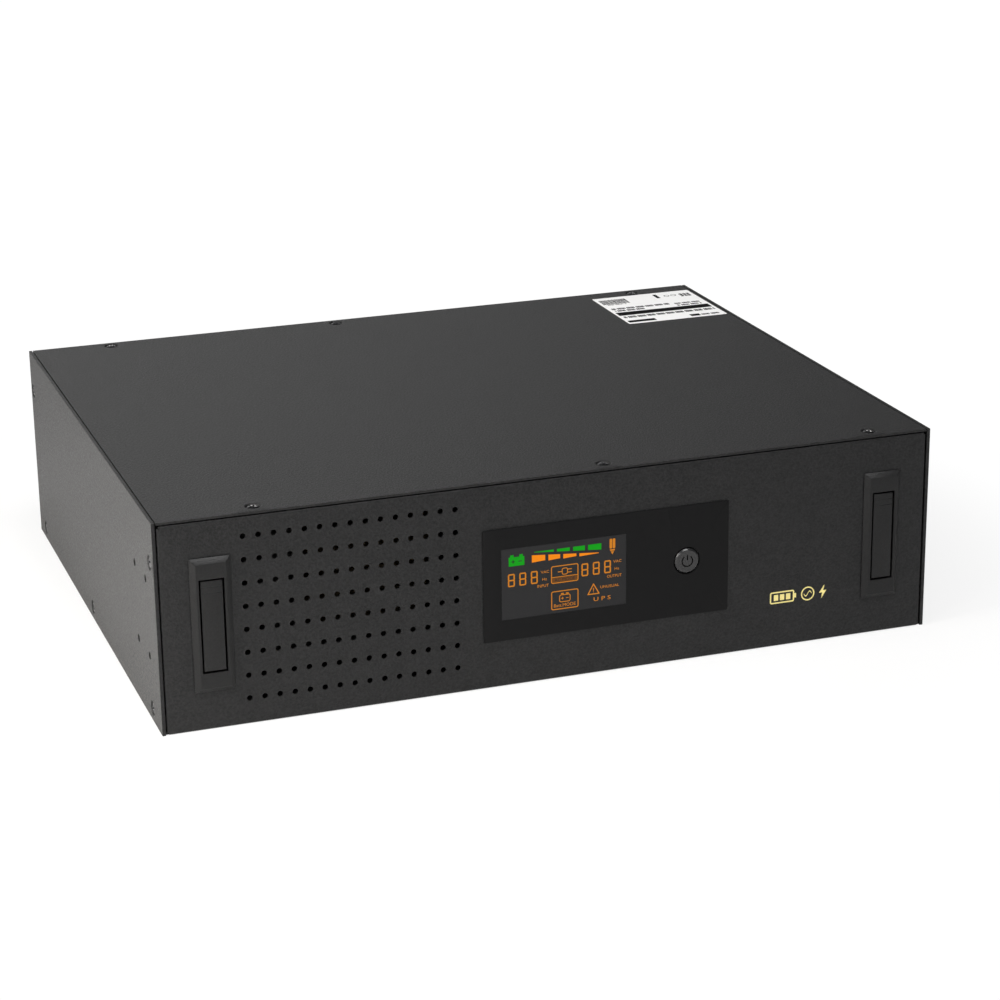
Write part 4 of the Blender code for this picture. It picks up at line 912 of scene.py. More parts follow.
def lettering(text: str, width: float, height: float, deep: float) -> Surface:
    """Returns plain letters as closed flat bodies, centred on the origin, between 0 and deep.

    Args:
        text: What they say.
        width: The width of the whole word.
        height: The height of a capital.
        deep: How far they stand out.

    Returns:
        The letters, in plane coordinates.
    """
    curve = bpy.data.curves.new("letters", "FONT")
    curve.body = text
    curve.extrude = 0.5
    curve.resolution_u = 3
    obj = bpy.data.objects.new("letters", curve)
    bpy.context.scene.collection.objects.link(obj)
    bpy.context.view_layer.update()
    mesh = bpy.data.meshes.new_from_object(obj.evaluated_get(bpy.context.evaluated_depsgraph_get()))
    points = np.empty(len(mesh.vertices) * 3, np.float32)
    mesh.vertices.foreach_get("co", points)
    points = points.reshape(-1, 3).astype(float)
    low, high = points.min(axis=0), points.max(axis=0)
    points = (points - (low + high) / 2) / (high - low) * (width, height, deep)
    points[:, 2] += deep / 2
    surface = Surface()
    surface.points.append(points)
    surface.faces = [list(face.vertices) for face in mesh.polygons]
    surface.count = len(points)
    bpy.data.objects.remove(obj)
    bpy.data.curves.remove(curve)
    bpy.data.meshes.remove(mesh)
    return surface


# The case


@dataclass
class SteelCase:
    """The folded steel case: front and rear panels, cover, side plates and the pan below."""

    sheet: float = 1.2 * MM
    side_sheet: float = 1.8 * MM
    bend: float = 1.22 * MM
    rounding: Rounding = Rounding(0.12 * MM)
    cover_rounding: Rounding = Rounding(0.55 * MM, 3, 50.0)
    side_rounding: Rounding = Rounding(0.25 * MM, 2, 50.0)
    vent_radius: float = 1.5 * MM
    vent_columns: int = 15
    vent_rows: int = 8
    vent_pitch: Pair = (8.0 * MM, 12.5 * MM)
    vent_left: float = 42.1 * MM
    vent_rise: float = 1.8 * MM
    sleeve_hole: Pair = (9.0 * MM, 29.0 * MM)
    lcd_rim: float = 2.0 * MM
    button_hole: float = 7.6 * MM
    dish: float = 4.4 * MM
    dish_depth: float = 1.1 * MM
    screw_hole: float = 1.9 * MM
    ear_hole: float = 2.1 * MM
    ear_inset: float = 21.3 * MM
    ear_spacing: Pair = (26.1 * MM, 41.9 * MM)
    cell: int = 6
    narrow: float = 4.0 * MM

    def panel(self, node: str, outward: int, body_strips: list[tuple[float, float, int, list]]) -> None:
        """Builds a panel with four flanges from the strips of its face.

        Args:
            node: The CAD node, from whose box the panel takes its place.
            outward: -1 for a panel that faces -Y and 1 for one that faces +Y.
            body_strips: (start, end, divisions, holes from low to high) across the face, where
                each hole is (low, high, opening) along it.
        """
        low, high = corners(node)
        half = (float(high[0]), float(high[2] - low[2]) / 2)
        fold = Fold(half, self.bend, float(high[1] - low[1]))
        z = float(low[2] + high[2]) / 2
        seat = front_seat(0, float(low[1]), z) if outward < 0 else back_seat(0, float(high[1]), z)
        start_b = half[1] - self.bend
        holes_ends = {end for strip in body_strips for hole in strip[3] for end in hole[:2]}
        ends = sorted(holes_ends | {-start_b, start_b})
        counts = [self.cell if b - a > self.narrow else 1 for a, b in zip(ends, ends[1:])]
        flange_a, flange_b = fold.samples(0), fold.samples(1)
        along = np.concatenate([-flange_b[:0:-1], hemmed(divided(ends, counts)), flange_b[1:]])
        reach = fold.reach(1)
        strips = [Strip(-flange_a[::-1], [(-start_b, start_b, None)])]
        for number, (start, end, divisions, holes) in enumerate(body_strips):
            cells = [(-reach, -start_b, None)]
            place = -start_b
            for bottom, top, opening in holes:
                if bottom > place + WELD:
                    cells.append((place, bottom, None))
                cells.append((bottom, top, opening))
                place = top
            if place < start_b - WELD:
                cells.append((place, start_b, None))
            across = hemmed(divided([start, end], divisions), number == 0, number == len(body_strips) - 1)
            strips.append(Strip(across, cells + [(start_b, reach, None)]))
        strips.append(Strip(flange_a, [(-start_b, start_b, None)]))
        face = pierced(seat, strips, along, fold)
        finished(f"{node}_sheet", face, POWDER_COAT, BODY, (node,), self.sheet, self.rounding)

    def front(self) -> None:
        """Builds the front panel: vents, display window, button hole and the handles' openings."""
        low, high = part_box("front_panel")
        z = (low[2] + high[2]) / 2
        edge_a, edge_b = high[0] - self.bend, (high[2] - low[2]) / 2 - self.bend
        pitch_x, pitch_z = self.vent_pitch
        left = CAD_BOX[0][0] + self.vent_left
        right = left + self.vent_columns * pitch_x
        lows = self.vent_rise + (np.arange(self.vent_rows + 1) - self.vent_rows / 2) * pitch_z
        vents = []
        for column in range(self.vent_columns):
            x = left + (column + 0.5) * pitch_x
            holes = [
                (float(a), float(b), Opening((x, float(a + b) / 2), (self.vent_radius, self.vent_radius)))
                for a, b in zip(lows, lows[1:])
            ]
            vents.append((left + column * pitch_x, left + (column + 1) * pitch_x, self.cell, holes))
        full = (-edge_b, edge_b)
        handles = {}
        for side in ("left", "right"):
            x, _, height = middle(f"{side}_handle_bezel")
            handles[side] = (*full, Opening((float(x), height - z), self.sleeve_hole, Rim.SQUARE))
        lcd_low, lcd_high = corners("lcd_module")
        lcd = middle("lcd_module")
        window_half = tuple((lcd_high - lcd_low)[[0, 2]] / 2 - self.lcd_rim)
        window = (*full, Opening((lcd[0], lcd[2] - z), window_half, Rim.SQUARE))
        button_at = middle("power_button")
        button = (*full, Opening((button_at[0], button_at[2] - z), (self.button_hole,) * 2))
        border = (lcd[0] + window_half[0] + button_at[0] - self.button_hole) / 2
        button_end = button_at[0] + 2 * self.button_hole
        handle_start = handles["right"][2].at[0] - 2 * self.sleeve_hole[0]
        strips = [(-edge_a, left, 2 * self.cell, [handles["left"]]), *vents]
        strips += [
            (right, border, 4 * self.cell, [window]),
            (border, button_end, 2 * self.cell, [button]),
            (button_end, handle_start, self.cell, []),
            (handle_start, edge_a, 2 * self.cell, [handles["right"]]),
        ]
        self.panel("front_panel", -1, strips)

    def rear(self) -> None:
        """Builds the rear panel: the fan's opening and one for each connector."""
        low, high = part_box("rear_panel")
        z = (low[2] + high[2]) / 2
        edge_a, edge_b = high[0] - self.bend, (high[2] - low[2]) / 2 - self.bend
        full = (-edge_b, edge_b)

        def hole(node: str, spare: float, rim: Rim = Rim.SQUARE) -> Opening:
            """Returns the opening for a node, wider than its box by the spare width on each side."""
            node_low, node_high = corners(node)
            size = (node_high - node_low)[[0, 2]] / 2
            half = (float(size.min()),) * 2 if rim is Rim.ROUND else tuple(size.tolist())
            x, _, height = middle(node)
            return Opening((-float(x), height - z), (half[0] + spare, half[1] + spare), rim)

        row = (middle("usb_port")[2] + middle("line_jacks")[2]) / 2 - z
        below, above = (-edge_b, float(row)), (float(row), edge_b)
        port, outlet, socket = 0.3 * MM, -2.2 * MM, -2.4 * MM
        columns = [
            [(*below, hole("usb_port", port)), (*above, hole("line_jacks", port))],
            [(*below, hole("mains_inlet", -3.0 * MM)), (*above, hole("breaker_body", -3.7 * MM, Rim.ROUND))],
            [(*below, hole("appliance_outlet_1", outlet)), (*above, hole("appliance_outlet_2", outlet))],
            [(*full, hole("mains_socket_2", socket, Rim.ROUND))],
            [(*full, hole("mains_socket_1", socket, Rim.ROUND))],
            [(*full, hole("fan_frame", -2.0 * MM, Rim.ROUND))],
        ]
        middles = [column[0][2].at[0] for column in columns]
        halves = [max(entry[2].half[0] for entry in column) for column in columns]
        borders = [-edge_a]
        for left, right, half_left, half_right in zip(middles, middles[1:], halves, halves[1:]):
            borders.append((left + half_left + right - half_right) / 2)
        borders.append(edge_a)
        divisions = [2 * self.cell] * (len(columns) - 1) + [4 * self.cell]
        self.panel("rear_panel", 1, list(zip(borders, borders[1:], divisions, columns)))

    def dish_at(self, at: Pair) -> Opening:
        """Returns a screw's hole with the dish pressed round it."""
        return Opening(at, (self.screw_hole,) * 2, dish=self.dish, depth=self.dish_depth)

    def cover(self) -> None:
        """Builds the cover, with a dish for each of its screws."""
        low, high = corners("top_cover")
        screws = [middle(f"cover_screw_{number}")[:2] for number in range(1, 7)]
        groups = [(screws[0], screws[3]), (screws[4],), (screws[1],), (screws[2], screws[5])]
        margin = 1.6 * self.dish
        rows = [low[1], screws[0][1] + margin, screws[3][1] - 0.9 * margin, high[1]]
        along = hemmed(divided([float(row) for row in rows], [8, 10, 8]))
        strips = []
        place = float(low[0])
        for group in groups:
            start = float(min(at[0] for at in group)) - margin
            end = float(max(at[0] for at in group)) + margin
            plain = hemmed(divided([place, start], 6), first=not strips, last=False)
            strips.append(Strip(plain, [(rows[0], rows[3], None)]))
            dishes = {at[1] > 0: self.dish_at((float(at[0]), float(at[1]))) for at in group}
            cells = zip(rows, rows[1:], (dishes.get(False), None, dishes.get(True)))
            strips.append(Strip(divided([start, end], 10), list(cells)))
            place = end
        plain = hemmed(divided([place, float(high[0])], 6), first=False)
        strips.append(Strip(plain, [(rows[0], rows[3], None)]))
        face = pierced(top_seat(0, 0, float(high[2])), strips, along)
        finished("cover_sheet", face, POWDER_COAT, BODY, ("top_cover",), self.sheet, self.cover_rounding)

    def side(self, name: str, sign: int) -> None:
        """Builds a side plate with five screw dishes and four holes for a rack ear."""
        low, high = corners(f"{name}_side_panel")
        z = (low[2] + high[2]) / 2
        seat = Seat((sign * float(high[0] if sign > 0 else -low[0]), 0, float(z)), (0, 1, 0), (0, 0, sign))
        screws = [middle(f"{name}_screw_{number}")[1:] for number in range(1, 6)]
        near = low[1] + self.ear_inset
        apart_y, apart_z = self.ear_spacing
        ears = [(near + i * apart_y, z + (j - 0.5) * apart_z) for i in (0, 1) for j in (0, 1)]
        margin = 1.3 * self.dish
        low_end, high_start = screws[2][1] + 1.6 * self.dish, screws[0][1] - margin
        heights = [low[2], low_end, z, high_start, screws[0][1] + margin, high[2]]
        ear_end = (ears[0][0] + ears[2][0]) / 2
        columns = [
            (low[1], screws[0][0] + margin, [screws[0]], []),
            (screws[0][0] + margin, ear_end, [screws[2]], ears[:2]),
            (ear_end, ears[2][0] + 2 * margin, [], ears[2:]),
            (ears[2][0] + 2 * margin, screws[3][0] - margin, [], []),
            (screws[3][0] - margin, screws[3][0] + margin, [screws[3]], []),
            (screws[3][0] + margin, screws[4][0] - margin, [], []),
            (screws[4][0] - margin, screws[1][0] - 1.1 * self.dish, [screws[4]], []),
            (screws[1][0] - 1.1 * self.dish, high[1], [screws[1]], []),
        ]
        strips = []
        for start, end, dished, plain in columns:
            holes = [(self.dish_at((at[0], sign * (at[1] - z))), at[1]) for at in dished]
            holes += [(Opening((at[0], sign * (at[1] - z)), (self.ear_hole,) * 2), at[1]) for at in plain]
            cells = []
            rows = list(zip(heights, heights[1:]))
            if plain:
                rows = [rows[0], rows[1], (heights[2], heights[4]), rows[4]]
            for bottom, top in rows:
                inside = [hole for hole, height in holes if bottom < height < top]
                a, b = sorted((sign * (bottom - z), sign * (top - z)))
                cells.append((a, b, inside[0] if inside else None))
            across = divided([float(start), float(end)], 8)
            strips.append(Strip(hemmed(across, not strips, len(strips) == len(columns) - 1), cells))
        along = np.sort(sign * (hemmed(divided([float(v) for v in heights], [8, 8, 6, 8, 2])) - z))
        node, face = f"{name}_side_panel", pierced(seat, strips, along)
        finished(f"{name}_side_sheet", face, POWDER_COAT, BODY, (node,), self.side_sheet, self.side_rounding)

    def build(self) -> None:
        """Builds every panel of the case and finishes the pan."""
        self.front()
        self.rear()
        self.cover()
        self.side("left", -1)
        self.side("right", 1)
        dress("base_pan", POWDER_COAT)


@dataclass
class CaseScrews:
    """The sixteen countersunk screws of the case."""

    radius: float = 3.1 * MM
    crown: float = 0.75 * MM
    proud: float = 0.20 * MM
    turn_step: float = 0.7
    shank: Pair = (1.5 * MM, 5.8 * MM)
    shank_top: float = 1.0 * MM

    def build(self) -> None:
        """Builds each screw in its dish; those of the cover stand a little proud."""
        for number in range(1, 7):
            x, y, _ = middle(f"cover_screw_{number}")
            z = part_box("top_cover")[1][2] + self.proud - self.crown
            self.screw(f"cover_screw_{number}", top_seat(float(x), float(y), float(z)), number)
        for side, sign in (("left", -1), ("right", 1)):
            for number in range(1, 6):
                _, y, z = middle(f"{side}_screw_{number}")
                seat = side_seat(sign, float(y), float(z)).moved(out=-self.crown)
                self.screw(f"{side}_screw_{number}", seat, number)

    def screw(self, node: str, seat: Seat, number: int) -> None:
        """Builds one screw head and its shank."""
        surface = Surface()
        screw_head(surface, seat, self.radius, self.crown, number * self.turn_step)
        radius, length = self.shank
        tip = radius - 0.3 * MM
        low, edge, top = -length, 0.5 * MM - length, -self.shank_top
        surface.turned(seat, [(0, low), (tip, low), (radius, edge), (radius, top), (0, top)], 16)
        finished(f"{node}_head", surface, SCREW_BLACK, BODY, (node,))


# The front


@dataclass
class PullHandle:
    """A bezel with its sleeve, and the grip that pulls straight out of it."""

    side: str
    bevel: float = 2.8 * MM
    foot: float = 2.7 * MM
    edge: float = 0.3 * MM
    clearance: float = 1.0 * MM
    hook: float = 1.2 * MM
    lip: float = 5.0 * MM
    wall: float = 1.5 * MM
    bar: float = 5.0 * MM
    leg: float = 7.0 * MM
    hook_length: float = 3.0 * MM
    grooves: tuple[float, ...] = (3.2 * MM, 6.4 * MM)
    groove: float = 0.22 * MM

    def build(self) -> None:
        """Builds the bezel on the case and the grip on its own body."""
        low, high = corners(f"{self.side}_handle_bezel")
        grip_low, grip_high = corners(f"{self.side}_handle_grip")
        seat = front_seat(float(low[0] + high[0]) / 2, float(low[1]), float(low[2] + high[2]) / 2)
        half_w, _, half_h = (high - low) / 2
        grip_w, _, grip_h = (grip_high - grip_low) / 2
        mouth_w, mouth_h = grip_w + self.clearance, grip_h - self.hook + self.clearance
        cavity_h = grip_h + self.clearance
        end = -float(high[1] - low[1])
        floor = end + self.wall
        outer_w, outer_h = mouth_w + self.wall, cavity_h + self.wall
        rows = [
            (0, 0, 0, floor),
            (mouth_w, cavity_h, 0.4 * MM, floor),
            (mouth_w, cavity_h, 0.4 * MM, -self.lip),
            (mouth_w, mouth_h, 0.4 * MM, -self.lip),
            (mouth_w, mouth_h, 0.4 * MM, 0),
            (half_w - self.bevel, half_h - self.bevel, 0.3 * MM, 0),
            (half_w, half_h, 0.5 * MM, -self.foot + self.edge),
            (half_w, half_h, 0.5 * MM, -self.foot),
            (outer_w, outer_h, 0.8 * MM, -self.foot),
            (outer_w, outer_h, 0.8 * MM, end),
            (0, 0, 0, end),
        ]
        surface = carried(seat, rows, 0.16 * MM, 3)
        finished(f"{self.side}_bezel", surface, HANDLE_BLACK, BODY, (f"{self.side}_handle_bezel",))
        self.grip(grip_low, grip_high)

    def grip(self, low: Array, high: Array) -> None:
        """Builds the grip: a U-shaped outline seen from the side, with two fine grooves in its face."""
        front, back = float(low[1]), float(high[1])
        z0, z1 = float(low[2]) + self.hook, float(high[2]) - self.hook
        bar_back = front + self.bar
        hooks = back - self.hook_length
        lines = [
            (front + offset, z1 - place + side)
            for place in sorted(self.grooves, reverse=True)
            for offset, side in ((0, -self.groove), (self.groove, 0), (0, self.groove))
        ]
        outline = np.array(
            [
                *lines,
                (front, z1),
                (hooks, z1),
                (hooks, z1 + self.hook),
                (back, z1 + self.hook),
                (back, z1 - self.leg),
                (bar_back, z1 - self.leg),
                (bar_back, z0 + self.leg),
                (back, z0 + self.leg),
                (back, z0 - self.hook),
                (hooks, z0 - self.hook),
                (hooks, z0),
                (front, z0),
            ]
        )
        outline = eased_corners(outline, 0.35 * MM, closed=True)[::-1]
        x = float(low[0] + high[0]) / 2
        seat = Seat((x, 0, 0), (0, 1, 0), (0, 0, 1))
        half = float(high[0] - low[0]) / 2
        name, node = f"{self.side}_grip", f"{self.side}_handle_grip"
        bar = Surface().plate(seat, outline, -half, half)
        finished(name, bar, HANDLE_BLACK, name, (node,), rounding=Rounding(0.25 * MM, 2, 50.0))


@dataclass
class PowerButton:
    """The round push button, with its shallow dish and its engraved mark, drawn as a flush near-black inlay
    of painted shade.
    """

    radius: float = 7.0 * MM
    stem: float = 2.5 * MM
    bevel: float = 0.9 * MM
    rim: float = 0.5 * MM
    dish: float = 0.18 * MM
    mark_radius: float = 3.0 * MM
    mark_width: float = 0.65 * MM
    mark_gap: float = 0.62

    def build(self) -> None:
        """Builds the cap, collar and stem as one turned piece, and the mark as an inlay of painted shade."""
        low, high = corners("power_button")
        x, _, z = middle("power_button")
        seat = front_seat(float(x), float(low[1]), float(z))
        radius, collar, stem = self.radius, float(high[0] - low[0]) / 2, self.stem
        end = -float(high[1] - low[1])
        collar_front, collar_back = -3.1 * MM, -4.1 * MM
        body = np.array(
            [
                (0, end),
                (stem, end),
                (stem, collar_back),
                (collar, collar_back),
                (collar, collar_front),
                (radius, collar_front),
                (radius, -1.0 * MM),
                (radius - self.bevel, 0),
                (radius - self.bevel - self.rim, 0),
            ]
        )
        profile = eased_corners(body, 0.45 * MM, 4).tolist()
        inner = radius - self.bevel - self.rim
        shares = np.linspace(0, 1, 13)[1:]
        profile += [(inner * (1 - s), -self.dish * float(eased(s * 3))) for s in shares.tolist()]
        surface = Surface().turned(seat, profile, 96)
        finished("button_cap", surface, BUTTON_BLACK, "power_button", ("power_button",))
        self.mark(seat)

    def mark(self, seat: Seat) -> None:
        """Builds the on and off mark: an open ring with a bar through its gap, a flush near-black inlay whose
        colour paints the shade in the engraving.
        """
        surface = Surface()
        turn = math.pi / 2 + np.linspace(self.mark_gap, 2 * math.pi - self.mark_gap, 40)
        unit = np.stack([np.cos(turn), np.sin(turn)], axis=1)
        outer = unit * (self.mark_radius + self.mark_width / 2)
        inner = unit * (self.mark_radius - self.mark_width / 2)
        low, high = -self.dish - 0.03 * MM, -self.dish + 0.03 * MM
        surface.plate(seat, np.concatenate([outer, inner[::-1]]), low, high)
        bar = rounded_box((self.mark_width / 2, 1.5 * MM), 0.1 * MM, 3, (0, 2.0 * MM))
        surface.plate(seat, bar, low, high)
        # The mark's near-black finish is painted shade of an engraved groove; the inlay itself stands
        # slightly proud.
        finished("button_mark", surface, RECESS_SHADE_BLACK, "power_button")


@dataclass
class StatusScreen:
    """The display: a dark film over the panel, its window, and what the screen shows.

    Places on the screen are (across, down) from the window's upper left corner.
    """

    rim: float = 2.0 * MM
    button_hole: float = 7.6 * MM
    film: float = 0.4 * MM
    border: float = 4.0 * MM
    gap: float = 0.05 * MM
    sunk: float = 0.12 * MM
    raised: float = 0.02 * MM
    buried: float = 0.02 * MM
    stroke: float = 0.80 * MM
    figure: Pair = (3.9 * MM, 7.2 * MM)
    bar_share: float = 0.94
    size: Pair = field(init=False)
    seat: Seat = field(init=False)

    def __post_init__(self) -> None:
        """Takes the window's size and plane from the display module and the film over it."""
        low, high = corners("lcd_module")
        self.size = (float(high[0] - low[0]) - 2 * self.rim, float(high[2] - low[2]) - 2 * self.rim)
        x, _, z = middle("lcd_module")
        face = float(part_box("display_overlay")[0][1])
        self.seat = front_seat(float(x), face, float(z)).moved(out=-self.sunk)

    def at(self, across: float, down: float) -> Pair:
        """Returns a place on the screen, given in millimetres, in the window's plane."""
        return across * MM - self.size[0] / 2, self.size[1] / 2 - down * MM

    def build(self) -> None:
        """Builds the film, the window and the lit shapes."""
        self.cover_film()
        half = tuple(length / 2 - self.gap for length in self.size)
        window = Surface().plate(self.seat, rounded_box(half, 0.1 * MM, 2), self.sunk - self.film, 0)
        finished("screen_window", window, LCD_WINDOW)
        self.green_shapes()
        self.amber_shapes()
        self.orange_shapes()
        dress("lcd_module", LCD_WINDOW)

    def cover_film(self) -> None:
        """Builds the film with the window and the button's hole cut out of it."""
        low, high = corners("display_overlay")
        x, _, z = (low + high) / 2
        half_w, half_h = (float(v) / 2 for v in (high - low)[[0, 2]])
        window_x = self.seat.origin[0] - float(x)
        button_x = float(middle("power_button")[0] - x)
        half = (self.size[0] / 2, self.size[1] / 2)
        border_1 = window_x + half[0] + self.border
        border_2 = button_x - self.button_hole - self.border
        full = (-half_h, half_h)
        window = Opening((window_x, 0), half, Rim.SQUARE)
        button = Opening((button_x, 0), (self.button_hole,) * 2)
        strips = [
            Strip(divided([-half_w, border_1], 12), [(*full, window)]),
            Strip(divided([border_1, border_2], 2), [(*full, None)]),
            Strip(divided([border_2, half_w], 16), [(*full, button)]),
        ]
        seat = front_seat(float(x), float(low[1]), float(z))
        film = pierced(seat, strips, hemmed(divided([-half_h, half_h], 16)))
        edge = Rounding(0.08 * MM, 2, 50.0)
        finished("screen_film", film, OVERLAY_FILM, BODY, ("display_overlay",), self.film, edge)

    def add(self, surface: Surface, outline: Array) -> None:
        """Adds a flat lit shape, given in the window's plane."""
        surface.plate(self.seat, outline, -self.buried, self.raised)

    def polygon(self, surface: Surface, places: list[Pair]) -> None:
        """Adds a flat lit shape, given in millimetres on the screen, clockwise as seen."""
        self.add(surface, np.array([self.at(*place) for place in places])[::-1])

    def outline(self, box: tuple[float, ...], corner: float, steps: int, inset: float = 0.0) -> Array:
        """Returns the rounded outline of a (left, top, right, bottom) box on the screen, in millimetres."""
        left, top, right, bottom = box
        half = ((right - left) / 2 * MM - inset * MM, (bottom - top) / 2 * MM - inset * MM)
        centre = self.at((left + right) / 2, (top + bottom) / 2)
        return rounded_box(half, corner * MM, steps, centre)

    def rounded(self, surface: Surface, box: tuple[float, ...], corner: float = 0.1) -> None:
        """Adds a filled box with rounded corners."""
        self.add(surface, self.outline(box, corner, 4))

    def frame(self, surface: Surface, box: tuple[float, ...], line: float) -> None:
        """Adds a line round the inside of a box with rounded corners."""
        corner = 1.1
        outer, inner = self.outline(box, corner, 5), self.outline(box, corner - line, 5, line)
        band(surface, self.seat, outer, inner, -self.buried, self.raised)

    def word(self, surface: Surface, text: str, at: Pair, width: float, height: float) -> None:
        """Adds a word centred on a place, in millimetres on the screen."""
        x, y = self.at(*at)
        flat = lettering(text, width * MM, height * MM, self.raised + self.buried)
        surface.merged(self.seat.moved(x, y, -self.buried), flat)

    def digit(self, surface: Surface, left: float, top: float) -> None:
        """Adds a figure eight of seven bars with pointed ends, three level and four upright."""
        x0, y0 = self.at(left, top)
        width, height = self.figure
        t, gap = self.stroke, 0.15 * self.stroke
        level_bars = [(0.5, row) for row in (0.0, 0.5, 1.0)]
        upright_bars = [(column, row) for row in (0.25, 0.75) for column in (0.0, 1.0)]
        for column, row in level_bars + upright_bars:
            level = column == 0.5
            length = ((width if level else height / 2) - t - gap) / 2
            half, point = t / 2, length + t / 2
            below, above = [(-length, -half), (length, -half)], [(length, half), (-length, half)]
            bar = np.array([(-point, 0), *below, (point, 0), *above])
            if not level:
                bar = np.stack([-bar[:, 1], bar[:, 0]], axis=1)
            x = x0 + half + column * (width - t)
            y = y0 - half - row * (height - t)
            self.add(surface, bar * self.bar_share + (x, y))

    def green_shapes(self) -> None:
        """Builds the battery sign and the four bars of its charge, which grow to the right."""
        surface = Surface()
        shoulder, crest = 4.9, 3.7
        outline = [(4.2, shoulder)]
        for start, end in ((5.0, 6.9), (10.1, 12.0)):
            outline += [(start, shoulder), (start, crest), (end, crest), (end, shoulder)]
        self.polygon(surface, [*outline, (12.8, shoulder), (12.8, 9.8), (4.2, 9.8)])
        first, top, thin, slope = 18.4, 3.5, 0.25, 0.085
        for start, end in ((first, 29.2), (31.0, 38.1), (40.0, 46.6), (48.4, 55.8)):
            drops = [top + thin + (place - first) * slope for place in (start, end)]
            self.polygon(surface, [(start, top), (end, top), (end, drops[1]), (start, drops[0])])
        finished("screen_green", surface, LIT_GREEN)
        signs = Surface()
        for box in ((5.6, 7.15, 7.6, 7.65), (6.35, 6.4, 6.85, 8.4), (9.5, 7.15, 11.5, 7.65)):
            signs.plate(self.seat, self.outline(box, 0.05, 2), 0, self.raised + 0.01 * MM)
        finished("screen_green_signs", signs, LCD_WINDOW)

    def amber_shapes(self) -> None:
        """Builds the four bars of the load, which shrink to the right."""
        surface = Surface()
        first, top, slope = 17.0, 5.15, 0.088
        for start, end in ((first, 24.4), (26.2, 32.7), (34.5, 41.8), (43.5, 54.4)):
            tops = [top + (place - first) * slope for place in (start, end)]
            self.polygon(surface, [(start, tops[0]), (end, tops[1]), (end, 8.75), (start, 9.2)])
        finished("screen_amber", surface, LIT_AMBER)

    def orange_shapes(self) -> None:
        """Builds the figures, units, mode boxes and signs, and the dim strip with its dark word."""
        surface = Surface()
        for left in (3.6, 9.9, 16.3):
            self.digit(surface, left, 14.0)
        for left in (44.6, 51.0, 57.4):
            self.digit(surface, left, 13.5)
        words = (
            ("VAC", 24.2, 15.3, 4.6, 1.5),
            ("Hz", 24.0, 19.3, 2.5, 1.4),
            ("INPUT", 23.1, 22.9, 6.3, 1.6),
            ("VAC", 64.9, 14.6, 4.6, 1.5),
            ("Hz", 64.6, 18.7, 2.5, 1.4),
            ("OUTPUT", 63.2, 22.6, 8.2, 1.6),
            ("Batt.MODE", 35.2, 35.1, 12.2, 1.8),
            ("UNUSUAL", 60.6, 28.0, 10.6, 1.5),
            ("U P S", 56.3, 34.4, 9.6, 2.2),
        )
        for text, across, down, width, height in words:
            self.word(surface, text, (across, down), width, height)
        self.frame(surface, (27.6, 12.8, 42.9, 22.6), 0.5)
        self.rounded(surface, (28.0, 18.9, 42.5, 19.3))
        self.frame(surface, (27.6, 26.9, 42.9, 37.4), 0.5)
        self.plug_sign(surface)
        self.battery_sign(surface)
        self.bulb_sign(surface)
        self.fault_sign(surface)
        finished("screen_orange", surface, LIT_ORANGE)
        strip = Surface()
        self.rounded(strip, (28.3, 19.5, 42.2, 21.9), 0.3)
        finished("screen_mode_strip", strip, LIT_DIM)
        dark = Surface()
        x, y = self.at(35.25, 20.7)
        flat = lettering("AC MODE", 11.6 * MM, 1.7 * MM, self.raised)
        dark.merged(self.seat.moved(x, y, 0.01 * MM), flat)
        finished("screen_mode_word", dark, LCD_WINDOW)

    def plug_sign(self, surface: Surface) -> None:
        """Adds a plug with two pins and a short cord."""
        self.frame(surface, (33.6, 14.4, 37.0, 18.2), 0.42)
        for down in (15.2, 16.9):
            self.rounded(surface, (37.0, down, 39.2, down + 0.45))
        self.rounded(surface, (31.4, 16.1, 33.6, 16.55))

    def battery_sign(self, surface: Surface) -> None:
        """Adds the outline of a battery with its two terminals and signs."""
        self.frame(surface, (32.1, 29.2, 38.4, 33.5), 0.42)
        for left in (33.1, 35.9):
            self.rounded(surface, (left, 28.4, left + 1.5, 29.1))
        self.rounded(surface, (33.2, 31.15, 34.6, 31.5), 0.05)
        self.rounded(surface, (33.75, 30.6, 34.1, 32.05), 0.05)
        self.rounded(surface, (35.9, 31.15, 37.3, 31.5), 0.05)

    def bulb_sign(self, surface: Surface) -> None:
        """Adds a lamp: two tall strips side by side over a cap that narrows downwards."""
        self.rounded(surface, (60.5, 1.7, 61.95, 7.2), 0.6)
        self.rounded(surface, (62.25, 1.7, 63.7, 7.2), 0.6)
        self.polygon(surface, [(60.6, 7.6), (63.6, 7.6), (63.3, 8.5), (60.9, 8.5)])
        self.polygon(surface, [(61.2, 8.8), (63.0, 8.8), (62.1, 10.6)])

    def fault_sign(self, surface: Surface) -> None:
        """Adds a three-sided outline with a stroke and a dot in it."""
        outer = np.array([self.at(47.8, 31.6), self.at(55.0, 31.6), self.at(51.4, 25.2)])
        centre = outer.mean(axis=0)
        sizes = [centre + (outer - centre) * share for share in (1.0, 0.74)]
        loops = [eased_corners(size, 0.5 * MM, closed=True) for size in sizes]
        band(surface, self.seat, loops[0], loops[1], -self.buried, self.raised)
        self.rounded(surface, (51.2, 27.9, 51.6, 29.6))
        self.rounded(surface, (51.2, 30.0, 51.6, 30.4))


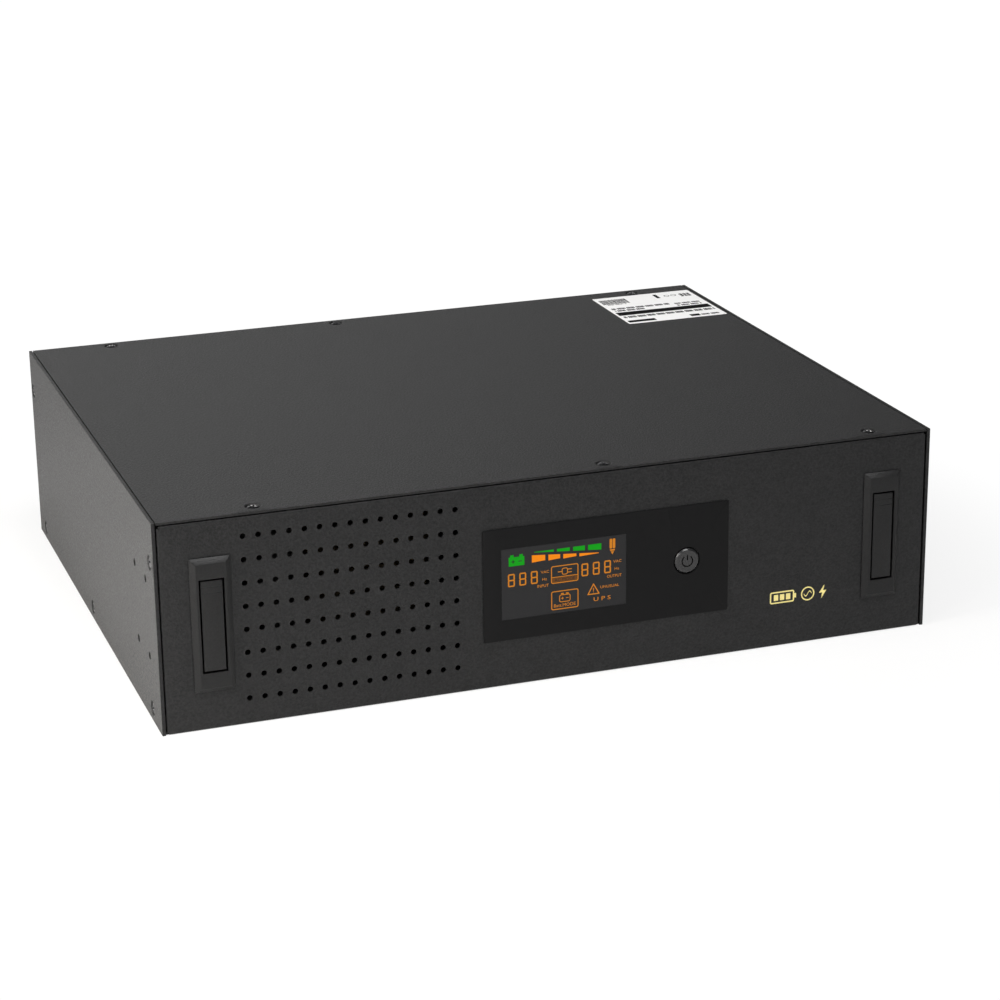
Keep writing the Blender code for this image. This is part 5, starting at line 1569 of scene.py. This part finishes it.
@dataclass
class FoilMark:
    """A small foil mark low on the front: a battery with three bars, a wave in a ring, and a bolt."""

    centre: Pair = (139.0 * MM, 28.2 * MM)
    thick: float = 0.06 * MM

    def build(self) -> None:
        """Builds the three signs as thin foil on the panel."""
        face = float(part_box("front_panel")[0][1])
        seat = front_seat(self.centre[0], face, self.centre[1])
        surface = Surface()
        half, line = (7.2 * MM, 3.4 * MM), 0.75 * MM
        at = (-10.3 * MM, 0.0)
        outer = rounded_box(half, 1.1 * MM, 5, at)
        inner = rounded_box((half[0] - line, half[1] - line), 0.5 * MM, 5, at)
        band(surface, seat, outer, inner, -self.thick, self.thick)
        stub = rounded_box((0.55 * MM, 1.3 * MM), 0.2 * MM, 3, (-2.5 * MM, 0))
        places = [at[0] + step * 3.6 * MM for step in (-1, 0, 1)]
        bars = [rounded_box((1.3 * MM, 1.7 * MM), 0.2 * MM, 3, (place, 0)) for place in places]
        for shape in (stub, *bars):
            surface.plate(seat, shape, -self.thick, self.thick)
        ring_at = (5.0 * MM, 0.0)
        outer, inner = circle(4.0 * MM, 48, ring_at), circle(3.3 * MM, 48, ring_at)
        band(surface, seat, outer, inner, -self.thick, self.thick)
        s = np.linspace(-1, 1, 25)
        wave = np.stack([s * 2.3 * MM, 1.3 * MM * np.sin(s * math.pi)], axis=1) + ring_at
        lift = np.array([0, 0.33 * MM])
        surface.plate(seat, np.concatenate([wave - lift, (wave + lift)[::-1]]), -self.thick, self.thick)
        bolt = np.array([(0.9, 4.0), (-2.2, -0.5), (-0.3, -0.5), (-0.9, -4.0), (2.2, 0.7), (0.3, 0.7)]) * MM
        surface.plate(seat, bolt + (14.0 * MM, 0), -self.thick, self.thick)
        finished("foil_mark", surface, GOLD_FOIL)


@dataclass
class RatingLabel:
    """The paper label on the cover, printed with bars and blocks that say nothing."""

    thick: float = 0.14 * MM
    ink: float = 0.03 * MM

    def build(self) -> None:
        """Builds the paper and its print."""
        low, high = corners("rating_label")
        x, y, _ = (low + high) / 2
        half = (float(high[0] - low[0]) / 2, float(high[1] - low[1]) / 2)
        seat = top_seat(float(x), float(y), float(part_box("top_cover")[1][2]) + 0.01 * MM)
        paper = Surface().plate(seat, rounded_box(half, 0.8 * MM, 4), 0, self.thick)
        finished("label_paper", paper, PAPER, BODY, ("rating_label",))
        surface = Surface()
        print_seat = seat.moved(out=self.thick)

        def block(left: float, right: float, near: float, far: float) -> None:
            """Prints a block between shares of the label's width and depth."""
            centre = ((left + right - 1) * half[0], (near + far - 1) * half[1])
            size = ((right - left) * half[0], (far - near) * half[1])
            surface.plate(print_seat, rounded_box(size, 0.02 * MM, 1, centre), -self.ink, self.ink)

        def words(left: float, right: float, near: float, far: float, seed: int) -> None:
            """Prints a row of blocks of uneven widths, grouped like words."""
            place, number = left, seed
            while place < right - 0.012:
                width = 0.008 + 0.010 * ((number * 7) % 5) / 4
                block(place, min(place + width, right), near, far)
                place += width + (0.016 if number % 5 == 0 else 0.004)
                number += 1

        block(0.02, 0.975, 0.305, 0.425)
        block(0.018, 0.294, 0.039, 0.109)
        place = 0.03
        for number in range(30):
            width = 0.0032 + 0.0042 * ((number * 5 + number // 3) % 3) / 2
            block(place, place + width, 0.745, 0.915)
            place += width + 0.0026 + 0.0025 * ((number * 3) % 2)
        rows = (
            (0.06, 0.26, 0.715, 0.732, 2),
            (0.036, 0.632, 0.535, 0.590, 3),
            (0.044, 0.364, 0.460, 0.510, 5),
            (0.682, 0.948, 0.525, 0.565, 7),
            (0.682, 0.948, 0.455, 0.495, 4),
            (0.038, 0.967, 0.205, 0.268, 9),
            (0.765, 0.970, 0.047, 0.093, 6),
        )
        for row in rows:
            words(*row)
        block(0.652, 0.750, 0.039, 0.109)
        block(0.604, 0.640, 0.800, 0.940)
        self.code_square(block, 0.850, 0.780)
        for left in (0.724, 0.794):
            centre = ((2 * left - 1) * half[0], 0.71 * half[1])
            outer, inner = circle(1.9 * MM, 24, centre), circle(1.4 * MM, 24, centre)
            band(surface, print_seat, outer, inner, -self.ink, self.ink)
        finished("label_print", surface, PRINT_BLACK)

    def code_square(self, block: Block, left: float, near: float) -> None:
        """Prints a square of small blocks in a fixed pattern with no content."""
        step, width = 0.0125, 0.0105
        for row in range(9):
            for column in range(9):
                if (row * row + column * 3 + row * column) % 3 != 1:
                    x, y = left + column * step, near + row * step
                    block(x, x + width, y, y + width)


# The back


@dataclass
class CoolingFan:
    """The fan's frame, its bladed rotor and the wire guard outside."""

    blades: int = 7
    chord: float = 20.0 * MM
    thickness: float = 1.5 * MM
    pitch: Pair = (48.0, 26.0)
    hub_radius: float = 18.0 * MM
    hub_edge: float = 1.6 * MM
    tip_inset: float = 0.2 * MM
    root_inset: float = 1.5 * MM
    wire: float = 0.85 * MM
    rings: tuple[float, ...] = (12.0 * MM, 21.5 * MM, 31.0 * MM, 38.5 * MM)
    screw_spacing: float = 71.5 * MM
    loop_radius: float = 3.1 * MM
    bolt_radius: float = 3.6 * MM
    bolt_crown: float = 0.9 * MM

    def build(self) -> None:
        """Builds the moulded frame, the rotor on its own body and the guard."""
        softened("fan_frame", MOULDED_BLACK, 0.3 * MM)
        self.rotor()
        self.guard()

    def rotor(self) -> None:
        """Builds the hub as a turned cap, with twisted blades round it.

        A blade's section is an ellipse of the chord and the thickness, turned by the pitch, which
        falls evenly from root to tip. At radius r a tangential step of w turns by w / r.
        """
        low, high = corners("fan_rotor")
        x, _, z = (low + high) / 2
        tip = float(high[0] - low[0]) / 2 - self.tip_inset
        seat = back_seat(float(x), float(high[1]), float(z))
        length = float(high[1] - low[1])
        frame_low, frame_high = (float(corner[1]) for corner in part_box("fan_frame"))
        front = frame_low + 1.0 * MM - float(high[1])
        shaft, back = 2.0 * MM, -4.0 * MM
        rows = np.array(
            [
                (0, -length),
                (shaft, -length),
                (shaft, front),
                (self.hub_radius - self.hub_edge, front),
                (self.hub_radius, front + self.hub_edge),
                (self.hub_radius, back - self.hub_edge),
                (self.hub_radius - self.hub_edge, back),
                (shaft, back),
                (shaft, 0),
                (0, 0),
            ]
        )
        rows[:, 1] = np.clip(rows[:, 1], -length, 0)
        surface = Surface().turned(seat, eased_corners(rows, 0.8 * MM, 3).tolist(), 72)
        share = np.linspace(0, 1, 14)[:, None]
        turn = np.linspace(0, 2 * math.pi, 28, endpoint=False)[None, :]
        root = self.hub_radius - self.root_inset
        radius = root + (tip - root) * share
        pitch = np.radians(self.pitch[0] + (self.pitch[1] - self.pitch[0]) * share)
        u = self.chord / 2 * np.cos(turn) * (0.92 + 0.08 * share)
        w = self.thickness / 2 * np.sin(turn) * (1 - 0.3 * share)
        tangent = u * np.cos(pitch) - w * np.sin(pitch)
        depth = u * np.sin(pitch) + w * np.cos(pitch)
        y = (frame_low + frame_high) / 2 - 2.0 * MM
        for number in range(self.blades):
            angle = 2 * math.pi * number / self.blades - tangent / radius
            points = np.stack([x + radius * np.cos(angle), y + depth, z + radius * np.sin(angle)], axis=2)
            surface.patch(points, around=True).lid(points[0], flip=True).lid(points[-1])
        finished("fan_blades", surface, MOULDED_BLACK, "fan_rotor", ("fan_rotor",))

    def guard(self) -> None:
        """Builds the guard: four wire rings, four arms with a loop at each end, and a screw in each loop."""
        low, high = corners("fan_guard")
        x, _, z = (low + high) / 2
        ring_y, arm_y = float(high[1]) - self.wire, float(low[1]) + self.wire
        surface, bolts = Surface(), Surface()

        def spot(loop: Array, y: float) -> Array:
            """Puts an outline round the fan's axis into the plane at y."""
            return np.stack([x + loop[:, 0], np.full(len(loop), y), z + loop[:, 1]], axis=1)

        for radius in self.rings:
            tube(surface, spot(circle(radius, 96), ring_y), self.wire, 12, closed=True)
        corner = self.screw_spacing / 2
        for across in (-1, 1):
            for up in (-1, 1):
                way = np.array([across, up]) / math.sqrt(2)
                ends = np.array([self.rings[0] - self.wire, corner * math.sqrt(2) - self.loop_radius])
                shares = np.linspace(0, 1, 24)[:, None]
                line = way * (ends[0] + (ends[1] - ends[0]) * shares)
                tube(surface, spot(line, arm_y), self.wire, 12)
                at = np.array([across, up]) * corner
                ring = circle(self.loop_radius, 32, tuple(at))
                tube(surface, spot(ring, arm_y), self.wire, 12, closed=True)
                seat = back_seat(float(x + at[0]), arm_y + self.wire * 0.6, float(z + at[1]))
                turn = 0.4 + across * 0.5 + up * 0.3
                screw_head(bolts, seat, self.bolt_radius, self.bolt_crown, turn)
        finished("fan_guard_wire", surface, PLATED_WIRE, BODY, ("fan_guard",))
        finished("fan_guard_screws", bolts, SCREW_BLACK)


@dataclass
class MainsSocket:
    """One round mains socket: a cut-cornered plate, a deep well, two sleeves, two earth clips, and a
    near-black disc of painted shade in each sleeve's shallow hole.
    """

    number: int
    plate: Pair = (25.0 * MM, 3.0 * MM)
    face: float = 2.5 * MM
    well_radius: float = 19.5 * MM
    well_depth: float = 17.5 * MM
    body_radius: float = 22.3 * MM
    pin_radius: float = 2.6 * MM
    pin_spacing: float = 19.0 * MM
    clip: Triple = (2.0 * MM, 0.9 * MM, 16.0 * MM)

    def build(self) -> None:
        """Builds the moulding, the sleeves, the clips and the painted-shade discs in the sleeves' holes."""
        node = f"mains_socket_{self.number}"
        low, high = corners(node)
        x, _, z = (low + high) / 2
        seat = back_seat(float(x), float(high[1]), float(z))
        well, body, side = self.well_radius, self.body_radius, float(high[0] - low[0]) / 2
        corner = self.plate[1]
        end = -float(high[1] - low[1])
        rows = [
            (0, 0, 0, -self.well_depth),
            (well, well, well, -self.well_depth),
            (well, well, well, 0),
            (side - 0.3 * MM, side - 0.3 * MM, corner, 0),
            (side, side, corner, -0.5 * MM),
            (side, side, corner, -self.face + 0.02 * MM),
            (body, body, body, -self.face + 0.02 * MM),
            (body, body, body, end),
            (0, 0, 0, end),
        ]
        surface = carried(seat, rows, 0.35 * MM, 16)
        finished(f"{node}_moulding", surface, MOULDED_BLACK, BODY, (node,))
        metal, dark = Surface(), Surface()
        for sign in (-1, 1):
            place = seat.moved(across=sign * self.pin_spacing / 2, out=-self.well_depth)
            pin, sink, rise, floor = self.pin_radius, -0.5 * MM, 0.25 * MM, 0.06 * MM
            outer, inner, lid = pin + 0.5 * MM, pin - 0.02 * MM, 0.10 * MM
            sleeve = [(0, sink), (outer, sink), (outer, rise), (pin, rise), (pin, floor), (0, floor)]
            metal.turned(place, sleeve, 40)
            # A near-black disc on each sleeve's floor paints the shade of a deep pin hole in a cup 0.19 mm
            # deep.
            dark.turned(place, [(0, 0), (inner, 0), (inner, lid), (0, lid)], 40)
            half_w, thick, length = self.clip
            bend, hook = -0.8 * length, -1.4 * MM
            inside, outside = [(0, 0), (0, bend), (hook, -length)], [(-thick, bend), (-thick, 0)]
            path = [*inside, (hook - 0.6 * MM, -length), *outside]
            start = (float(x), float(high[1]) - 0.6 * MM, float(z) + sign * (well - 0.05 * MM))
            clip = eased_corners(np.array(path), 0.3 * MM, closed=True)
            metal.plate(Seat(start, (0, 0, sign), (0, 1, 0)), clip, -half_w, half_w)
        finished(f"{node}_contacts", metal, CONTACT_METAL)
        finished(f"{node}_sleeve_hole_shade", dark, RECESS_SHADE_BLACK)


@dataclass
class CircuitBreaker:
    """The pop-out breaker: a ribbed collar round a white button."""

    body_edge: float = 0.25 * MM
    bevel: float = 0.4 * MM
    dip: float = 0.12 * MM

    def build(self) -> None:
        """Builds the breaker's body and its button, which moves."""
        softened("breaker_body", MOULDED_BLACK, self.body_edge)
        low, high = corners("breaker_button")
        seat = back_seat(float(low[0] + high[0]) / 2, float(high[1]), float(low[2] + high[2]) / 2)
        length, radius = float(high[1] - low[1]), float(high[0] - low[0]) / 2
        face = [(radius, -self.bevel), (radius - self.bevel, 0), (0, -self.dip)]
        rows = np.array([(0, -length), (radius, -length), *face])
        surface = Surface().turned(seat, eased_corners(rows, 0.35 * MM, 4).tolist(), 48)
        body = "breaker_button"
        finished("breaker_cap", surface, WHITE_PLASTIC, body, (body,))


@dataclass
class Connectors:
    """The inlet, the outlets, the data port and the line jacks."""

    edge: float = 0.25 * MM

    def build(self) -> None:
        """Builds each connector as a softened moulding."""
        for node in ("appliance_outlet_1", "appliance_outlet_2", "mains_inlet", "line_jacks"):
            softened(node, MOULDED_BLACK, self.edge)
        softened("usb_port", CONTACT_METAL, 0.12 * MM)


# The inside


@dataclass(frozen=True)
class Interior:
    """What the case hides: the battery pack, the transformer and the boards, kept as they are."""

    finishes: tuple[tuple[str, Finish], ...] = (
        ("battery_1", BATTERY_CASE),
        ("battery_2", BATTERY_CASE),
        ("battery_3", BATTERY_CASE),
        ("battery_4", BATTERY_CASE),
        ("battery_strap", ZINC),
        ("battery_bracket", ZINC),
        ("transformer_core", LAMINATIONS),
        ("transformer_clamp", ZINC),
        ("transformer_coil", WINDING),
        ("display_board", CIRCUIT_BOARD),
        ("main_board", CIRCUIT_BOARD),
        ("heat_sink_1", ALUMINIUM),
        ("heat_sink_2", ALUMINIUM),
        ("capacitor", CAPACITOR_SLEEVE),
        ("relay", RELAY_CASE),
        ("battery_lead_red", RED_SLEEVE),
        ("battery_lead_black", BLACK_SLEEVE),
        ("power_switch", MOULDED_BLACK),
    )

    def build(self) -> None:
        """Gives each inner piece its finish."""
        for node, finish in self.finishes:
            dress(node, finish)


# The studio


@dataclass(frozen=True)
class Softbox:
    """One area light: where it stands, what it faces, its size, its power and its colour."""

    name: str
    place: Triple
    target: Triple
    size: Pair
    power: float
    colour: Triple = (1.0, 1.0, 1.0)

    def build(self) -> None:
        """Hangs the light and turns its -Z to the target."""
        lamp = bpy.data.lights.new(self.name, "AREA")
        lamp.shape = "RECTANGLE"
        lamp.size, lamp.size_y = self.size
        lamp.energy = self.power
        lamp.color = self.colour
        obj = bpy.data.objects.new(self.name, lamp)
        bpy.context.scene.collection.objects.link(obj)
        obj.location = self.place
        way = Vector(self.target) - Vector(self.place)
        obj.rotation_euler = way.to_track_quat("-Z", "Y").to_euler()


@dataclass(frozen=True)
class Studio:
    """A white floor under a pale dome, with soft lights.

    The dome's strength eases from horizon to above as a direction's Z goes through rise, and falls to
    right_share of itself as its X goes through fall. The camera itself sees the plain backdrop.
    """

    floor_half: float = 6.0
    floor_drop: float = 0.2 * MM
    floor_white: float = 0.88
    floor_shade: float = 0.30
    floor_glow: float = 1.02
    shade_reach: Pair = (0.25, 0.42)
    horizon: float = 1.20
    above: float = 0.15
    right_share: float = 0.22
    rise: Pair = (0.15, 0.50)
    fall: Pair = (0.05, 0.60)
    backdrop: float = 1.1
    lights: tuple[Softbox, ...] = (
        Softbox("overhead", (0.40, -1.15, 2.6), (0.0, 0.0, 0.0), (1.4, 1.4), 50.0),
        Softbox("left", (-0.78, -0.25, 0.5), (-0.28, 0.0, 0.0), (0.4, 0.4), 8.5, (1.0, 0.965, 0.91)),
        Softbox("upper_left", (-0.88, -0.82, 1.0), (0.0, -0.17, 0.06), (0.25, 0.25), 2.5),
    )

    def build(self) -> None:
        """Lays the floor, lights the dome and hangs the lights."""
        half = self.floor_half
        square = np.array([(-half, -half), (half, -half), (half, half), (-half, half)])
        seat = top_seat(0, 0, float(CAD_BOX[0][2]) - self.floor_drop)
        mesh = Surface().lid(seat.place(square[:, 0], square[:, 1], 0.0)).mesh("floor", closed=False)
        floor = bpy.data.objects.new("floor", mesh)
        bpy.context.scene.collection.objects.link(floor)
        white = self.floor_white
        paper = Finish(
            "floor_paper", "stage", (white,) * 3, (white - 0.01,) * 3, roughness=0.9, spread=0.05, ior=1.3,
            grain=20 * MM, relief=0.0,
        )
        floor.data.materials.append(self.glowing(paper.material()))
        self.dome()
        for light in self.lights:
            light.build()

    def glowing(self, paper: bpy.types.Material) -> bpy.types.Material:
        """Makes the floor shine white to the camera itself, so that only a faint shadow shows on it."""
        tree = paper.node_tree
        place = fed(tree, "ShaderNodeTexCoord", {}, "Object")
        reach = fed(tree, "ShaderNodeVectorMath", {0: place}, "Value", operation="LENGTH")
        fade = eased_range(tree, reach, self.shade_reach, (1 - self.floor_shade, 1.0))
        share = maths(tree, "MULTIPLY", fed(tree, "ShaderNodeLightPath", {}, "Is Camera Ray"), fade)
        white = fed(tree, "ShaderNodeEmission", {"Strength": self.floor_glow})
        shades = {"Fac": share, 1: tree.nodes["Principled BSDF"].outputs[0], 2: white}
        feed(tree, tree.nodes["Material Output"], {"Surface": fed(tree, "ShaderNodeMixShader", shades)})
        return paper

    def dome(self) -> None:
        """Lights the surroundings: palest at the horizon and to the left, white to the camera itself."""
        world = bpy.data.worlds.new("dome")
        bpy.context.scene.world = world
        world.use_nodes = True
        tree = world.node_tree
        tree.nodes.clear()
        parts = tree.nodes.new("ShaderNodeSeparateXYZ")
        feed(tree, parts, {0: fed(tree, "ShaderNodeTexCoord", {}, "Generated")})
        rise = eased_range(tree, parts.outputs["Z"], self.rise, (self.horizon, self.above))
        fall = eased_range(tree, parts.outputs["X"], self.fall, (1.0, self.right_share))
        white = (1.0, 1.0, 1.0, 1.0)
        glow = {"Color": white, "Strength": maths(tree, "MULTIPLY", rise, fall)}
        shades = {
            "Fac": fed(tree, "ShaderNodeLightPath", {}, "Is Camera Ray"),
            1: fed(tree, "ShaderNodeBackground", glow),
            2: fed(tree, "ShaderNodeBackground", {"Color": white, "Strength": self.backdrop}),
        }
        mixed = fed(tree, "ShaderNodeMixShader", shades)
        feed(tree, tree.nodes.new("ShaderNodeOutputWorld"), {"Surface": mixed})


@dataclass(frozen=True)
class Viewpoint:
    """Where the camera stands: an azimuth and elevation round the object, a roll, shifts and a distance."""

    azimuth: float = -19.1162
    elevation: float = 18.7904
    roll: float = -0.7474
    aside: float = 0.0244
    lift: float = 0.0435
    distance: float = 1.5972
    lens: float = 97.94

    def build(self) -> None:
        """Places the camera at aside x X + lift x Y + distance x Z of its own axes."""
        turn, tilt, roll = (math.radians(v) for v in (self.azimuth, self.elevation, self.roll))
        back = np.array([math.sin(turn) * math.cos(tilt), -math.cos(turn) * math.cos(tilt), math.sin(tilt)])
        level = np.cross((0, 0, 1), back)
        level /= np.linalg.norm(level)
        upright = np.cross(back, level)
        right = math.cos(roll) * level + math.sin(roll) * upright
        up = -math.sin(roll) * level + math.cos(roll) * upright
        place = self.aside * right + self.lift * up + self.distance * back
        data = bpy.data.cameras.new("camera")
        data.lens = self.lens
        data.clip_start = 0.05
        camera = bpy.data.objects.new("camera", data)
        bpy.context.scene.collection.objects.link(camera)
        axes = np.eye(4)
        axes[:3, :3] = np.stack([right, up, back], axis=1)
        axes[:3, 3] = place
        camera.matrix_world = Matrix(axes.tolist())
        bpy.context.scene.camera = camera
        bpy.context.scene.view_settings.view_transform = "Standard"


def main() -> None:
    """Builds every sub-assembly, then the studio and the camera."""
    logging.basicConfig(level=logging.INFO, format="%(name)s %(message)s")
    SteelCase().build()
    CaseScrews().build()
    for side in ("left", "right"):
        PullHandle(side).build()
    StatusScreen().build()
    PowerButton().build()
    FoilMark().build()
    RatingLabel().build()
    CoolingFan().build()
    for number in (1, 2):
        MainsSocket(number).build()
    CircuitBreaker().build()
    Connectors().build()
    Interior().build()
    Studio().build()
    Viewpoint().build()


if __name__ == "__main__":
    main()
